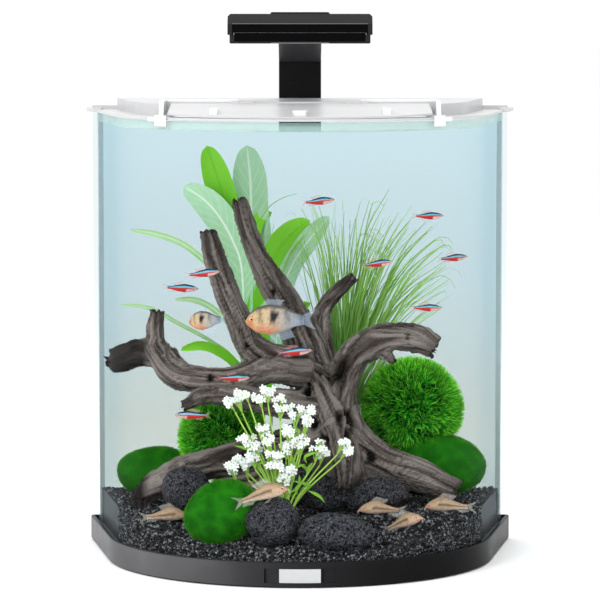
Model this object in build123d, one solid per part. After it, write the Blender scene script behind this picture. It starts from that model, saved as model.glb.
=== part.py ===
"""Half-moon glass aquarium with a black base tray, clear lid with feeding flap, clamp-on lamp and planting.

Frame: millimetres, +X to the right, +Z up, the bowed front pane faces -Y.
The origin is the centre of the footprint, on the plane the feet stand on.
"""
from math import atan2, cos, hypot, radians, sin, sqrt
import os

from build123d import *

# Driving dimensions
BASE_W = 395.0          # base tray width at its back corners
BASE_D = 280.0          # base tray depth, back to the middle of the bow
REAR_REACH = 22.0       # how far the lamp clamp knob stands behind the base
FRONT_R = 175.5         # radius of the bowed front of the base tray
BASE_BOTTOM = 1.0       # underside of the tray above the table
BASE_TOP = 22.5
BASE_WALL = 3.2
BASE_FLOOR = 3.5
FOAM_T = 3.0
GLASS_T = 4.0
FLOOR_GLASS_T = 5.0
GLASS_INSET = 3.6       # outer glass face inside the tray outline
SILICONE = 0.5          # bond thickness between panes
RIM_Z = 402.4           # top edge of the glass
FIT = 0.3               # clearance between parts that move
RUN = 0.05              # radial clearance of a running fit

# The plan outline: a bow of FRONT_R, tangent sides that flare back to the corners, and a flat back
Y_BACK = (BASE_D - REAR_REACH) / 2
Y_FRONT = Y_BACK - BASE_D
BOW_Y = Y_FRONT + FRONT_R
_corner = (BASE_W / 2, Y_BACK - BOW_Y)
_reach = hypot(*_corner)
_side = atan2(_corner[1], _corner[0]) - atan2(sqrt(_reach**2 - FRONT_R**2), FRONT_R)
SIDE_C, SIDE_S = cos(_side), sin(_side)      # unit normal of the right-hand side

# Levels that follow from the stack
FOAM_Z = BASE_BOTTOM + BASE_FLOOR
PANE_Z = FOAM_Z + FOAM_T
FLOOR_TOP = PANE_Z + FLOOR_GLASS_T
INNER = GLASS_INSET + GLASS_T                # inner glass face inside the tray outline
Y_PANE_OUT = Y_BACK - GLASS_INSET
Y_PANE_IN = Y_BACK - INNER

# Lid
LID_Z = RIM_Z + 0.2
LID_T = 2.0
LID_TOP = LID_Z + LID_T
LID_INSET = 3.0
DOME_INSET = 23.6
DOME_Z = 415.2
DOME_WALL = 2.0
BAR_T = 2.0
HINGE_Y = -10.5
HINGE_Z = 413.4
HINGE_R = 2.9
PIN_R = 1.5
DOME_FRONT = -6.0       # front wall of the dome between the straps
STRAP_X = 121.5
FLAP_HALF = 115.0
FLAP_T = 1.8
CLIP_W = 10.3
NOTCH_HALF = 23.0

# Lamp
POST_W = 39.2
POST_Y0 = 117.0
POST_Y1 = 135.0
POST_TOP = 448.3
LEG_Z = 388.0
BRIDGE_Z0 = 403.2
BRIDGE_Z1 = 410.0
INNER_LEG_Y = 114.5
OUTER_LEG_Y = 130.5
SCREW_Z = 395.6
SCREW_R = 3.0
TILT_Y = 128.0
TILT_Z = 448.5
TILT_R = 6.5
NECK_KNUCKLE = 11.4
HEAD_Y0 = -21.0
HEAD_Y1 = 44.0
HEAD_HALF = 64.5
HEAD_Z0 = 467.3
HEAD_MID = 475.0
HEAD_TOP = 493.5
HEAD_WALL = 2.0
BEVEL_Z = 484.6
BEVEL_Y = 11.0
HUMP_HALF = 26.5
HUMP_H = 1.6
SWITCH_HALF_X = 9.0
SWITCH_HALF_Y = 4.5

NODES = {}


# ---------------------------------------------------------------- helpers
def block(x0, x1, y0, y1, z0, z1):
    return Pos((x0 + x1) / 2, (y0 + y1) / 2, (z0 + z1) / 2) * Box(x1 - x0, y1 - y0, z1 - z0)


def rod_x(r, x0, x1, y, z):
    return Pos((x0 + x1) / 2, y, z) * Rot(0, 90, 0) * Cylinder(r, x1 - x0)


def rod_y(r, x, y0, y1, z):
    return Pos(x, (y0 + y1) / 2, z) * Rot(90, 0, 0) * Cylinder(r, y1 - y0)


def rod_z(r, x, y, z0, z1):
    return Pos(x, y, (z0 + z1) / 2) * Cylinder(r, z1 - z0)


def side_x(inset, y):
    """X of the right-hand side face at this y, for an outline set in by inset."""
    return (FRONT_R - inset - SIDE_S * (y - BOW_Y)) / SIDE_C


def plan(inset, back=None):
    """Half-moon face set in from the tray outline, with its own inset at the back if given."""
    r = FRONT_R - inset
    y1 = Y_BACK - (inset if back is None else back)
    x1 = side_x(inset, y1)
    tx, ty = r * SIDE_C, BOW_Y + r * SIDE_S
    bow = ThreePointArc((tx, ty), (0, BOW_Y - r), (-tx, ty))
    rest = Polyline((-tx, ty), (-x1, y1), (x1, y1), (tx, ty))
    return make_face(bow.edges() + rest.edges())


def slab(inset, z0, z1, back=None):
    return Pos(0, 0, z0) * extrude(plan(inset, back), amount=z1 - z0, dir=(0, 0, 1))


def across(points, x0, x1):
    """A (y, z) outline carried from x0 to x1."""
    face = Plane.YZ * make_face(Polyline(*points, close=True))
    return Pos(x0, 0, 0) * extrude(face, amount=x1 - x0, dir=(1, 0, 0))


def upright(points, z0, z1):
    """An (x, y) outline carried from z0 to z1."""
    return Pos(0, 0, z0) * extrude(make_face(Polyline(*points, close=True)), amount=z1 - z0, dir=(0, 0, 1))


def bow_ring(r0, r1, x0, x1, z0, z1):
    """The front part of a ring about the bow's centre, between two x values."""
    ring = rod_z(r1, 0, BOW_Y, z0, z1) - rod_z(r0, 0, BOW_Y, z0, z1)
    return ring & block(x0, x1, BOW_Y - r1 - 1, BOW_Y - 20, z0, z1)


def mirror_x(part):
    return mirror(part, about=Plane.YZ)


def limb(a, b):
    """A tapered round limb between two (x, y, z, r) stations."""
    va, vb = Vector(*a[:3]), Vector(*b[:3])
    run = vb - va
    frame = Plane(origin=va + run * 0.5, z_dir=run)
    return frame * Cone(a[3], b[3] if abs(a[3] - b[3]) > 0.01 else b[3] - 0.05, run.length)


def branch(stations):
    """A limb chain with a ball at each station, so that it bends without gaps."""
    body = None
    for a, b in zip(stations, stations[1:]):
        piece = limb(a, b) + Pos(*b[:3]) * Sphere(b[3])
        body = piece if body is None else body + piece
    return body


def pebble(x, y, z, a, b, c, turn=(0, 0, 0)):
    """An ellipsoid with semi-axes a, b, c."""
    return Pos(x, y, z) * Rot(*turn) * scale(Sphere(1.0), by=(a, b, c))


def keep(name, part):
    NODES[name] = part
    return part


# ---------------------------------------------------------------- base tray
def base_tray():
    outer = slab(0, BASE_BOTTOM, BASE_TOP)
    corners = outer.edges().filter_by(Axis.Z).sort_by(Axis.Y)[-2:]
    outer = fillet(corners, 4.0)
    outer = chamfer(outer.faces().sort_by(Axis.Z)[-1].edges(), 0.8)
    outer = chamfer(outer.faces().sort_by(Axis.Z)[0].edges(), 0.6)
    tray = outer - slab(BASE_WALL, FOAM_Z, BASE_TOP + 1)
    for x, y in FEET:
        tray -= rod_z(FOOT_R + 0.2, x, y, BASE_BOTTOM - 1, BASE_BOTTOM + 2)
    tray -= bow_ring(FRONT_R - RECESS, FRONT_R + 2, -31, 31, 4.5, 17.0)
    return tray


FOOT_R = 9.0
FEET = [(-160, 98), (160, 98), (-112, -62), (112, -62)]
RECESS = 1.4
BADGE_HALF = 18.0
BADGE_Z = 10.7
BADGE_H = 12.0

base = keep("base_frame", base_tray())
keep("badge_plate", bow_ring(FRONT_R - RECESS, FRONT_R - 0.2, -BADGE_HALF, BADGE_HALF,
                             BADGE_Z - BADGE_H / 2, BADGE_Z + BADGE_H / 2))
for n, (fx, fy) in enumerate(FEET, 1):
    keep(f"rubber_foot_{n}", rod_z(FOOT_R, fx, fy, 0, BASE_BOTTOM + 2))
keep("foam_mat", slab(GLASS_INSET, FOAM_Z, PANE_Z))

# ---------------------------------------------------------------- glass and silicone
floor_pane = keep("floor_pane", slab(INNER + SILICONE, PANE_Z, FLOOR_TOP))
front = slab(GLASS_INSET, PANE_Z, RIM_Z) - slab(INNER, PANE_Z - 1, RIM_Z + 1, back=-5)
keep("front_pane", front)
back_plan = plan(INNER + SILICONE, GLASS_INSET)
back_pane = extrude(back_plan, amount=RIM_Z - PANE_Z, dir=(0, 0, 1))
back_pane = Pos(0, 0, PANE_Z) * back_pane & block(-200, 200, Y_PANE_IN, Y_PANE_OUT, 0, RIM_Z + 1)
keep("back_pane", back_pane)
BEAD = 4.5
seam_floor = slab(INNER, PANE_Z, FLOOR_TOP + BEAD) - slab(INNER + SILICONE, PANE_Z - 1, FLOOR_TOP)
seam_floor -= slab(INNER + BEAD, FLOOR_TOP - 1, FLOOR_TOP + BEAD + 1)
keep("seam_floor", seam_floor)


def corner_seam():
    y0, y1, y2 = Y_PANE_OUT, Y_PANE_IN, Y_PANE_IN - BEAD
    bond = INNER + SILICONE
    outline = [(side_x(INNER, y0), y0), (side_x(bond, y0), y0), (side_x(bond, y1), y1),
               (side_x(bond, y1) - BEAD, y1), (side_x(INNER, y2), y2)]
    return upright(outline, PANE_Z, RIM_Z - 1) - floor_pane - seam_floor


seam_right = keep("seam_right", corner_seam())
seam_left = keep("seam_left", mirror_x(seam_right))

# ---------------------------------------------------------------- planting and stones
# Driftwood limbs as (x, y, z, radius) stations, from the trunk outwards
TRUNK = [(12, -6, 165, 20), (28, -10, 128, 27), (36, -10, 92, 24), (38, 0, 60, 17)]
LIMBS = [
    [(16, -6, 160, 19), (-6, 8, 218, 15), (-34, 24, 268, 11), (-57, 35, 327, 8)],
    [(0, -21, 173, 16), (-43, -33, 196, 12), (-65, -39, 248, 10), (-80, -42, 291, 8)],
    [(0, -26, 178, 15), (-54, -40, 173, 12), (-109, -20, 173, 12), (-134, -8, 206, 9)],
    [(-109, -20, 173, 11), (-160, 44, 178, 9)],
    [(14, -18, 140, 14), (-61, -57, 156, 10), (-108, -63, 146, 6)],
    [(20, 2, 170, 13), (18, 17, 205, 9), (49, 28, 256, 6)],
    [(31, -11, 147, 19), (55, -27, 197, 13), (98, -34, 208, 12), (121, -37, 198, 10)],
    [(40, -11, 111, 19), (86, -8, 83, 14), (142, -10, 62, 10)],
    [(22, -11, 111, 17), (-41, -6, 99, 15), (-107, -11, 84, 12), (-142, -1, 60, 8)],
    [(31, -21, 121, 16), (38, -44, 86, 9)],
]
wood = branch(TRUNK)
for limb_stations in LIMBS:
    wood += branch(limb_stations)
keep("driftwood", wood)

BALL_R, BALL_L = (103, 67, 130), (-71, 49, 106)
STAKE_R = 9.0
GRAVEL_ROOT = 40.0
ball_right = Pos(*BALL_R) * Sphere(38) + rod_z(STAKE_R, BALL_R[0], BALL_R[1], GRAVEL_ROOT, BALL_R[2])
ball_left = Pos(*BALL_L) * Sphere(34) + rod_z(STAKE_R, BALL_L[0], BALL_L[1], GRAVEL_ROOT, BALL_L[2])
keep("moss_ball_right", ball_right)
keep("moss_ball_left", ball_left)
keep("moss_stone_left", pebble(-134, 79, 70, 35, 22, 25) - ball_left)
keep("moss_stone_right", pebble(126, 40, 78, 42, 20, 29) - ball_right - wood)

stone_1 = keep("lava_stone_1", pebble(-101, -41, 70, 23, 15, 21) - wood)
stone_2 = keep("lava_stone_2", pebble(-24, -106, 51, 23, 17, 23))
keep("moss_stone_front", pebble(-75, -95, 58, 27, 20, 29))
stone_3 = keep("lava_stone_3", pebble(18, -26, 67, 28, 14, 17, (0, 18, 0)) - wood)
stone_4 = keep("lava_stone_4", pebble(32, -111, 42, 32, 17, 18, (0, 6, 0)) - stone_2)
stone_5 = keep("lava_stone_5", pebble(71, -34, 64, 25, 12, 16, (0, -14, 0)) - wood)

# Each plant is its stem with one closed crown
sword = limb((-40, 92, GRAVEL_ROOT, 6), (-50, 92, 250, 4)) + pebble(-50, 92, 300, 45, 12, 62)
grass = limb((38, 69, GRAVEL_ROOT, 8), (52, 69, 190, 8)) + pebble(66, 69, 245, 56, 11, 66)
flower = limb((-13, -76, 26, 3), (-6, -76, 95, 3)) + pebble(-4, -76, 124, 38, 6, 38)
keep("sword_plant", sword)
keep("grass_plant", grass)
keep("flower_plant", flower)

GRAVEL_TOP = [(Y_BACK - 4, 50), (Y_BACK - 110, 53), (Y_BACK - 180, 45), (Y_FRONT + 4, 21)]
gravel = across([(Y_BACK - 4, FLOOR_TOP)] + GRAVEL_TOP + [(Y_FRONT + 4, FLOOR_TOP)], -200, 200)
gravel &= slab(INNER + FIT, FLOOR_TOP, 60)
PLANTED = [n for n in NODES if n.startswith(("moss", "lava", "drift")) or n.endswith("plant")]
for name in PLANTED + ["seam_floor", "seam_left", "seam_right"]:
    gravel -= NODES[name]
keep("gravel_bed", gravel)


# ---------------------------------------------------------------- lid
def lid_panel():
    plate = slab(LID_INSET, LID_Z, LID_TOP)
    back_bar = slab(LID_INSET, LID_Z, 408.0) & block(-200, 200, Y_BACK - 12, Y_BACK, LID_Z, 408)
    ear = upright([(184, Y_BACK - 1), (199, Y_BACK), (192, 96), (184, 96)], LID_Z, LID_TOP + 1.4)
    dome = slab(DOME_INSET, LID_TOP, DOME_Z) - slab(DOME_INSET + DOME_WALL, LID_TOP, DOME_Z - DOME_WALL)
    side = STRAP_X - 2.0
    dome -= block(-side, side, Y_FRONT, DOME_FRONT, LID_TOP, DOME_Z)
    wall = slab(DOME_INSET, LID_TOP, DOME_Z)
    dome += wall & block(-side, side, DOME_FRONT, DOME_FRONT + DOME_WALL, LID_TOP, DOME_Z)
    for sign in (-1, 1):
        x0, x1 = sorted((sign * side, sign * (side + DOME_WALL)))
        dome += wall & block(x0, x1, Y_FRONT, DOME_FRONT + DOME_WALL, LID_TOP, DOME_Z)
    under = slab(DOME_INSET + DOME_WALL, LID_Z, LID_TOP) - block(-side - 2, side + 2, Y_FRONT, -4, LID_Z, LID_TOP)
    feed = slab(20.0, LID_Z, LID_TOP) & block(-112, 112, Y_FRONT, -16, LID_Z, LID_TOP)
    panel = plate + back_bar + ear + mirror_x(ear) + dome - under - feed
    panel -= block(-NOTCH_HALF, NOTCH_HALF, 108, Y_BACK + 1, LID_Z - 1, 420)
    for x0, x1 in LUGS:
        lug = rod_x(HINGE_R, x0, x1, HINGE_Y, HINGE_Z)
        lug += block(x0, x1, HINGE_Y, DOME_FRONT, HINGE_Z - HINGE_R, HINGE_Z + HINGE_R - 1.1)
        lug -= rod_x(PIN_R, x0, x1, HINGE_Y, HINGE_Z)
        panel += lug + mirror_x(lug)
    return panel


LUGS = [(41.0, 47.7), (54.3, 61.0)]
keep("lid_panel", lid_panel())
bar = block(54.3, 123.0, DOME_FRONT, DOME_FRONT + 14, DOME_Z, DOME_Z + BAR_T)
bar = chamfer(bar.faces().sort_by(Axis.Z)[-1].edges(), 0.5)
keep("hinge_bar_right", bar)
keep("hinge_bar_left", mirror_x(bar))
strap = across([(DOME_FRONT - 0.3, DOME_Z), (-68, DOME_Z), (-71, LID_TOP), (-85, LID_TOP),
                (-85, LID_TOP + 1.6), (-72.5, LID_TOP + 1.8), (-68.5, DOME_Z + BAR_T),
                (DOME_FRONT - 0.3, DOME_Z + BAR_T)], STRAP_X - 2, STRAP_X + 2)
strap -= NODES["lid_panel"]
keep("lid_strap_right", strap)
keep("lid_strap_left", mirror_x(strap))


def lid_clip():
    x0, x1 = STRAP_X - CLIP_W / 2, STRAP_X + CLIP_W / 2
    lid_r = FRONT_R - LID_INSET
    hook = bow_ring(lid_r - 0.2, FRONT_R - 0.3, x0, x1, 397.0, LID_Z)
    riser = bow_ring(lid_r, FRONT_R - 0.3, x0, x1, LID_Z, LID_TOP)
    cap = bow_ring(lid_r - 7, FRONT_R - 0.3, x0, x1, LID_TOP, LID_TOP + 1.4)
    wing = bow_ring(lid_r + 0.6, FRONT_R - 0.5, x1 - 0.5, x1 + 6, LID_Z - 1.6, LID_TOP)
    return hook + riser + cap + wing


clip = lid_clip()
keep("lid_clip_right", clip)
keep("lid_clip_left", mirror_x(clip))
pin = rod_x(PIN_R, LUGS[0][0], LUGS[1][1], HINGE_Y, HINGE_Z)
keep("hinge_pin_right", pin)
keep("hinge_pin_left", mirror_x(pin))


# ---------------------------------------------------------------- feeding flap
def flap_panel():
    y0, y1, y2 = HINGE_Y - 4.0, -124.0, Y_FRONT + 5.5
    z0, z1, z2 = HINGE_Z + 0.6, LID_TOP + 0.5 + FLAP_T, LID_TOP + 0.2 + FLAP_T
    sheet = across([(y0, z0), (y1, z1), (y2, z2), (y2, z2 - FLAP_T), (y1, z1 - FLAP_T), (y0, z0 - FLAP_T)],
                   -FLAP_HALF, FLAP_HALF)
    sheet &= slab(5.5, LID_TOP, 420)
    x0, x1 = LUGS[0][1] + FIT, LUGS[1][0] - FIT
    knuckle = rod_x(HINGE_R, x0, x1, HINGE_Y, HINGE_Z)
    knuckle += block(x0, x1, y0 - 1, HINGE_Y, z0 - FLAP_T - 0.6, z0)
    knuckle -= rod_x(PIN_R + RUN, x0, x1, HINGE_Y, HINGE_Z)
    sheet += knuckle + mirror_x(knuckle)
    sheet -= rod_x(HINGE_R + 0.4, LUGS[0][0] - 1, LUGS[0][1] + 0.1, HINGE_Y, HINGE_Z)
    return sheet


flap = keep("feeding_flap", flap_panel())


def flap_top(y):
    """Height of the flap's upper face at y, behind its front strip."""
    y0, y1 = HINGE_Y - 4.0, -124.0
    z0, z1 = HINGE_Z + 0.6, LID_TOP + 0.5 + FLAP_T
    return z0 + (z1 - z0) * (y - y0) / (y1 - y0)


tab = upright([(-6.5, -104), (6.5, -104), (4.5, -122), (-4.5, -122)], LID_TOP, flap_top(-122) + 4.2)
tab -= across([(-90, 400), (-90, flap_top(-90)), (-124, flap_top(-124)), (-124, 400)], -20, 20)
keep("flap_tab", tab)
bracket = block(71.5, 78.5, -118, -74, LID_TOP, flap_top(-96) + 3.4)
bracket -= block(73.0, 77.0, -112, -80, flap_top(-96) + 1.6, 420)
bracket -= across([(-60, 400), (-60, flap_top(-60)), (-124, flap_top(-124)), (-124, 400)], 60, 90)
keep("flap_bracket_right", bracket)
keep("flap_bracket_left", mirror_x(bracket))

# ---------------------------------------------------------------- lamp post and clamp
HALF = POST_W / 2


def lamp_post():
    post = block(-HALF, HALF, POST_Y0, POST_Y1, BRIDGE_Z1 - 1, POST_TOP)
    post += block(-HALF, HALF, INNER_LEG_Y, POST_Y1, BRIDGE_Z0, BRIDGE_Z1)
    post = fillet(post.edges().filter_by(Axis.Z), 1.6)
    post += block(-HALF, HALF, INNER_LEG_Y, Y_PANE_IN - 2.5, LEG_Z + 1, BRIDGE_Z0)
    post += block(-HALF, HALF, OUTER_LEG_Y, POST_Y1, LEG_Z, BRIDGE_Z0)
    post += rod_y(6.5, 0, POST_Y1, POST_Y1 + 3, SCREW_Z)
    post += rod_x(TILT_R, -HALF, HALF, TILT_Y, TILT_Z)
    gap = NECK_KNUCKLE + FIT
    post -= rod_x(TILT_R + 0.8, -gap, gap, TILT_Y, TILT_Z)
    post -= block(-gap, gap, TILT_Y, POST_Y1 + 1, TILT_Z - TILT_R, TILT_Z + 10)
    post -= rod_x(TILT_PIN_R, -HALF, HALF, TILT_Y, TILT_Z)
    post -= rod_y(SCREW_R + RUN, 0, OUTER_LEG_Y - 1, POST_Y1 + 4, SCREW_Z)
    post -= block(-14, 14, 122, POST_Y1 + 1, 413, 438)
    return post


TILT_PIN_R = 2.2
keep("lamp_post", lamp_post())
cover = block(-14, 14, POST_Y1 - 1.8, POST_Y1, 413, 438) - rod_y(3.2, 0, POST_Y1 - 3, POST_Y1 + 1, 424)
keep("post_cover", cover)
gland = rod_y(3.2, 0, POST_Y1 - 4, POST_Y1, 424) + rod_y(5.0, 0, POST_Y1, POST_Y1 + 3, 424)
gland += rod_y(3.6, 0, POST_Y1 + 3, POST_Y1 + 8, 424)
keep("cable_gland", gland - rod_y(1.9, 0, POST_Y1 - 5, POST_Y1 + 9, 424))
keep("inner_pad", block(-16, 16, Y_PANE_IN - 2.5, Y_PANE_IN, LEG_Z + 2.5, RIM_Z - 1.4))
keep("tilt_pin", rod_x(TILT_PIN_R, -HALF, HALF, TILT_Y, TILT_Z))

# The clamp screw turns in the outer leg and carries the pad that presses on the glass
PAD_Y0 = Y_PANE_OUT + 0.05
PAD_T = 2.6
KNOB_Y0 = POST_Y1 + 3 + 2.4
pad = rod_y(7.0, 0, PAD_Y0, PAD_Y0 + PAD_T, SCREW_Z)
pad = fillet(pad.edges().filter_by(GeomType.CIRCLE), 0.5)
keep("clamp_pad", pad - rod_y(SCREW_R + RUN, 0, PAD_Y0 + 0.8, PAD_Y0 + PAD_T + 1, SCREW_Z))
knob = rod_y(8.0, 0, KNOB_Y0, Y_BACK + REAR_REACH, SCREW_Z)
knob = fillet(knob.edges().filter_by(GeomType.CIRCLE), 1.2)
for k in range(10):
    knob -= Pos(0, 0, SCREW_Z) * Rot(0, 36 * k, 0) * rod_y(1.3, 8.6, KNOB_Y0 - 1, Y_BACK + REAR_REACH + 1, 0)
keep("clamp_screw", knob + rod_y(SCREW_R, 0, PAD_Y0 + 0.9, KNOB_Y0 + 1, SCREW_Z))


# ---------------------------------------------------------------- lamp neck and head
def lamp_neck():
    plate = across([(POST_Y0, TILT_Z), (TILT_Y - TILT_R - 0.6, TILT_Z), (TILT_Y - TILT_R - 0.6, 459.0),
                    (HEAD_Y1, 479.5), (HEAD_Y1, HEAD_Z0 + 1.0)], -HALF + 0.1, HALF - 0.1)
    plate = fillet(plate.edges().filter_by(Axis.X).sort_by(Axis.Z)[1:2], 0.2)
    knuckle = rod_x(TILT_R, -NECK_KNUCKLE, NECK_KNUCKLE, TILT_Y, TILT_Z)
    web = block(-NECK_KNUCKLE, NECK_KNUCKLE, TILT_Y - TILT_R - 1, TILT_Y, TILT_Z, TILT_Z + TILT_R)
    tongue = block(-12, 12, HEAD_Y1 - HEAD_WALL - 6, HEAD_Y1, HEAD_MID + 0.5, 479)
    neck = plate + knuckle + web + tongue
    return neck - rod_x(TILT_PIN_R + RUN, -NECK_KNUCKLE, NECK_KNUCKLE, TILT_Y, TILT_Z)


def head_shell():
    """Upper shell of the lamp head: a bevelled cover, open below and at the front recess."""
    outline = [(HEAD_Y0, HEAD_MID), (HEAD_Y0, BEVEL_Z), (HEAD_Y0 + BEVEL_Y, HEAD_TOP),
               (HEAD_Y1 - 5, HEAD_TOP), (HEAD_Y1, HEAD_TOP - 5), (HEAD_Y1, HEAD_MID)]
    shell = across(outline, -HEAD_HALF, HEAD_HALF)
    shell = chamfer(shell.edges().filter_by(Axis.Y).sort_by(Axis.Z)[-2:], 2.2)
    w = HEAD_WALL
    inner = [(HEAD_Y0 + 7, HEAD_MID - 1), (HEAD_Y0 + 7, BEVEL_Z), (HEAD_Y0 + BEVEL_Y + 3, HEAD_TOP - w),
             (HEAD_Y1 - 5 - w / 2, HEAD_TOP - w), (HEAD_Y1 - w, HEAD_TOP - 5 - w / 2), (HEAD_Y1 - w, HEAD_MID - 1)]
    shell -= across(inner, -HEAD_HALF + w + 1, HEAD_HALF - w - 1)
    shell -= block(-60.45, 60.45, HEAD_Y0 - 1, HEAD_Y0 + 8, HEAD_MID - 1, BEVEL_Z)
    shell -= block(-12, 12, HEAD_Y1 - w - 1, HEAD_Y1 + 1, HEAD_MID + 0.5, 479)
    shell -= block(-SWITCH_HALF_X - 0.4, SWITCH_HALF_X + 0.4, SWITCH_Y - SWITCH_HALF_Y - 0.4,
                   SWITCH_Y + SWITCH_HALF_Y + 0.4, HEAD_TOP - 5, HEAD_TOP + 5)
    return shell


def head_tray():
    """Lower tray of the lamp head, stepped in from the shell, with the light window in its floor."""
    half = HEAD_HALF - 1.75
    y0, y1 = HEAD_Y0 + 1.2, HEAD_Y1 - 1.0
    tray = block(-half, half, y0, y1, HEAD_Z0, HEAD_MID)
    tray = fillet(tray.edges().filter_by(Axis.Z), 2.0)
    tray = chamfer(tray.faces().sort_by(Axis.Z)[0].edges(), 0.8)
    tray -= block(-half + 3, half - 3, y0 + 7, y1 - 2, HEAD_Z0 + 1.8, HEAD_MID + 1)
    tray -= block(-58.45, 58.45, y0 - 1, y0 + 8, 469.0, HEAD_MID + 1)
    tray -= block(-LENS_HALF, LENS_HALF, LENS_Y0, LENS_Y1, HEAD_Z0 - 1, HEAD_MID)
    for sx in (-1, 1):
        tray -= rod_z(1.5, sx * BOSS_X, BOSS_Y, HEAD_Z0 - 1, HEAD_MID)
    return tray


SWITCH_Y = 12.0
LENS_HALF = 52.0
LENS_Y0 = -10.0
LENS_Y1 = 32.0
BOSS_X = 56.0
BOSS_Y = 36.5
neck = keep("lamp_neck", lamp_neck())
keep("lamp_tray", head_tray() - neck)
shell = head_shell() - neck
boss = rod_z(3.2, BOSS_X, BOSS_Y, HEAD_Z0 + 1.8, HEAD_TOP - 1.5) - rod_z(1.5, BOSS_X, BOSS_Y, HEAD_Z0, 486)
keep("lamp_shell", shell + boss + mirror_x(boss))
screw = rod_z(1.5, BOSS_X, BOSS_Y, HEAD_Z0 + 0.9, 485.5) + rod_z(1.5, BOSS_X, BOSS_Y, HEAD_Z0 + 0.1, HEAD_Z0 + 0.9)
keep("lamp_screw_right", screw)
keep("lamp_screw_left", mirror_x(screw))

hump = block(-HUMP_HALF, HUMP_HALF, -6, 30, HEAD_TOP, HEAD_TOP + HUMP_H)
hump = fillet(hump.edges().filter_by(Axis.Z), 3.0)
hump = chamfer(hump.faces().sort_by(Axis.Z)[-1].edges(), 0.9)
hump -= block(-SWITCH_HALF_X - 0.4, SWITCH_HALF_X + 0.4, SWITCH_Y - SWITCH_HALF_Y - 0.4,
              SWITCH_Y + SWITCH_HALF_Y + 0.4, HEAD_TOP - 1, HEAD_TOP + 5)
keep("switch_bezel", hump)
button = block(-SWITCH_HALF_X, SWITCH_HALF_X, SWITCH_Y - SWITCH_HALF_Y, SWITCH_Y + SWITCH_HALF_Y,
               HEAD_TOP - 3.4, HEAD_TOP + HUMP_H)
button = fillet(button.edges().filter_by(Axis.Z), 1.2)
button = chamfer(button.faces().sort_by(Axis.Z)[-1].edges(), 0.5)
button += block(-3, 3, SWITCH_Y - 2, SWITCH_Y + 2, HEAD_TOP - 4.2, HEAD_TOP - 3)
keep("switch_button", button)

slat_u = across([(HEAD_Y0 + 2.2, BEVEL_Z), (HEAD_Y0 + 4.2, BEVEL_Z), (HEAD_Y0 + 3.4, 477.2), (HEAD_Y0 + 1.4, 477.2)],
                -60.45, 60.45)
slat_l = across([(HEAD_Y0 + 3.6, 476.8), (HEAD_Y0 + 5.6, 476.8), (HEAD_Y0 + 4.8, 469.0), (HEAD_Y0 + 2.8, 469.0)],
                -58.45, 58.45)
keep("slat_upper", slat_u)
keep("slat_lower", slat_l)

board = block(-50, 50, -8, 32, 478.0, 479.6)
for row in range(4):
    for col in range(9):
        cx, cy = -44 + 11 * col, -4 + 11 * row
        board += block(cx - 1.75, cx + 1.75, cy - 1.75, cy + 1.75, 477.2, 478.0)
for cx in (-46, 46):
    board += block(cx - 2, cx + 2, 26, 30, 479.6, HEAD_TOP - HEAD_WALL)
keep("led_board", board)
keep("lamp_driver", block(-40, -14, 0, 26, 479.6, 487.0))
lens = block(-LENS_HALF, LENS_HALF, LENS_Y0, LENS_Y1, HEAD_Z0 + 0.2, HEAD_Z0 + 1.8)
lens += block(-LENS_HALF - 2, LENS_HALF + 2, LENS_Y0 - 2, LENS_Y1 + 2, HEAD_Z0 + 1.8, HEAD_Z0 + 3.0)
keep("lamp_lens", lens)

# ---------------------------------------------------------------- one STEP per piece
os.makedirs("parts", exist_ok=True)
for name, piece in NODES.items():
    piece.label = name
    export_step(piece, f"parts/{name}.step")
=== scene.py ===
"""Looks for the half-moon aquarium: finishes, water, planting, stones, fish, light and camera.

Lengths are in millimetres in the tables and helpers below and become metres in add_mesh().
"""
import math

import bmesh
import bpy
import numpy as np
from mathutils import Matrix, Vector, noise


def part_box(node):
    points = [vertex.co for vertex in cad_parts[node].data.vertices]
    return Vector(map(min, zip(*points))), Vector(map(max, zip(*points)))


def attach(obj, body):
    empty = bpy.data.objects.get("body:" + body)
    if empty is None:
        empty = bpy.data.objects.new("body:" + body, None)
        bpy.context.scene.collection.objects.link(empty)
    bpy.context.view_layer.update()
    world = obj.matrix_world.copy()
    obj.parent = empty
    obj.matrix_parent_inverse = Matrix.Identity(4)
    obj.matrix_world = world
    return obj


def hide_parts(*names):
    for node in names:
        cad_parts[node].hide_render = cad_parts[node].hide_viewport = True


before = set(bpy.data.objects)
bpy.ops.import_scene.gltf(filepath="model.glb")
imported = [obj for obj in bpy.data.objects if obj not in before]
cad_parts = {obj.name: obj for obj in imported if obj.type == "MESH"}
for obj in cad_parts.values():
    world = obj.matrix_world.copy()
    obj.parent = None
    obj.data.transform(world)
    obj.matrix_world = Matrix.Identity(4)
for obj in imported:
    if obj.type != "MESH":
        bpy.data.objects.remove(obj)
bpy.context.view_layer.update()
scene = bpy.context.scene
rng = np.random.default_rng(7)
MM = 0.001


def corner(node, which):
    """A CAD node's lowest (0) or highest (1) corner in millimetres."""
    return np.array(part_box(node)[which]) / MM


def middle(node):
    """The middle of a CAD node's box in millimetres."""
    return (corner(node, 0) + corner(node, 1)) / 2


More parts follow.
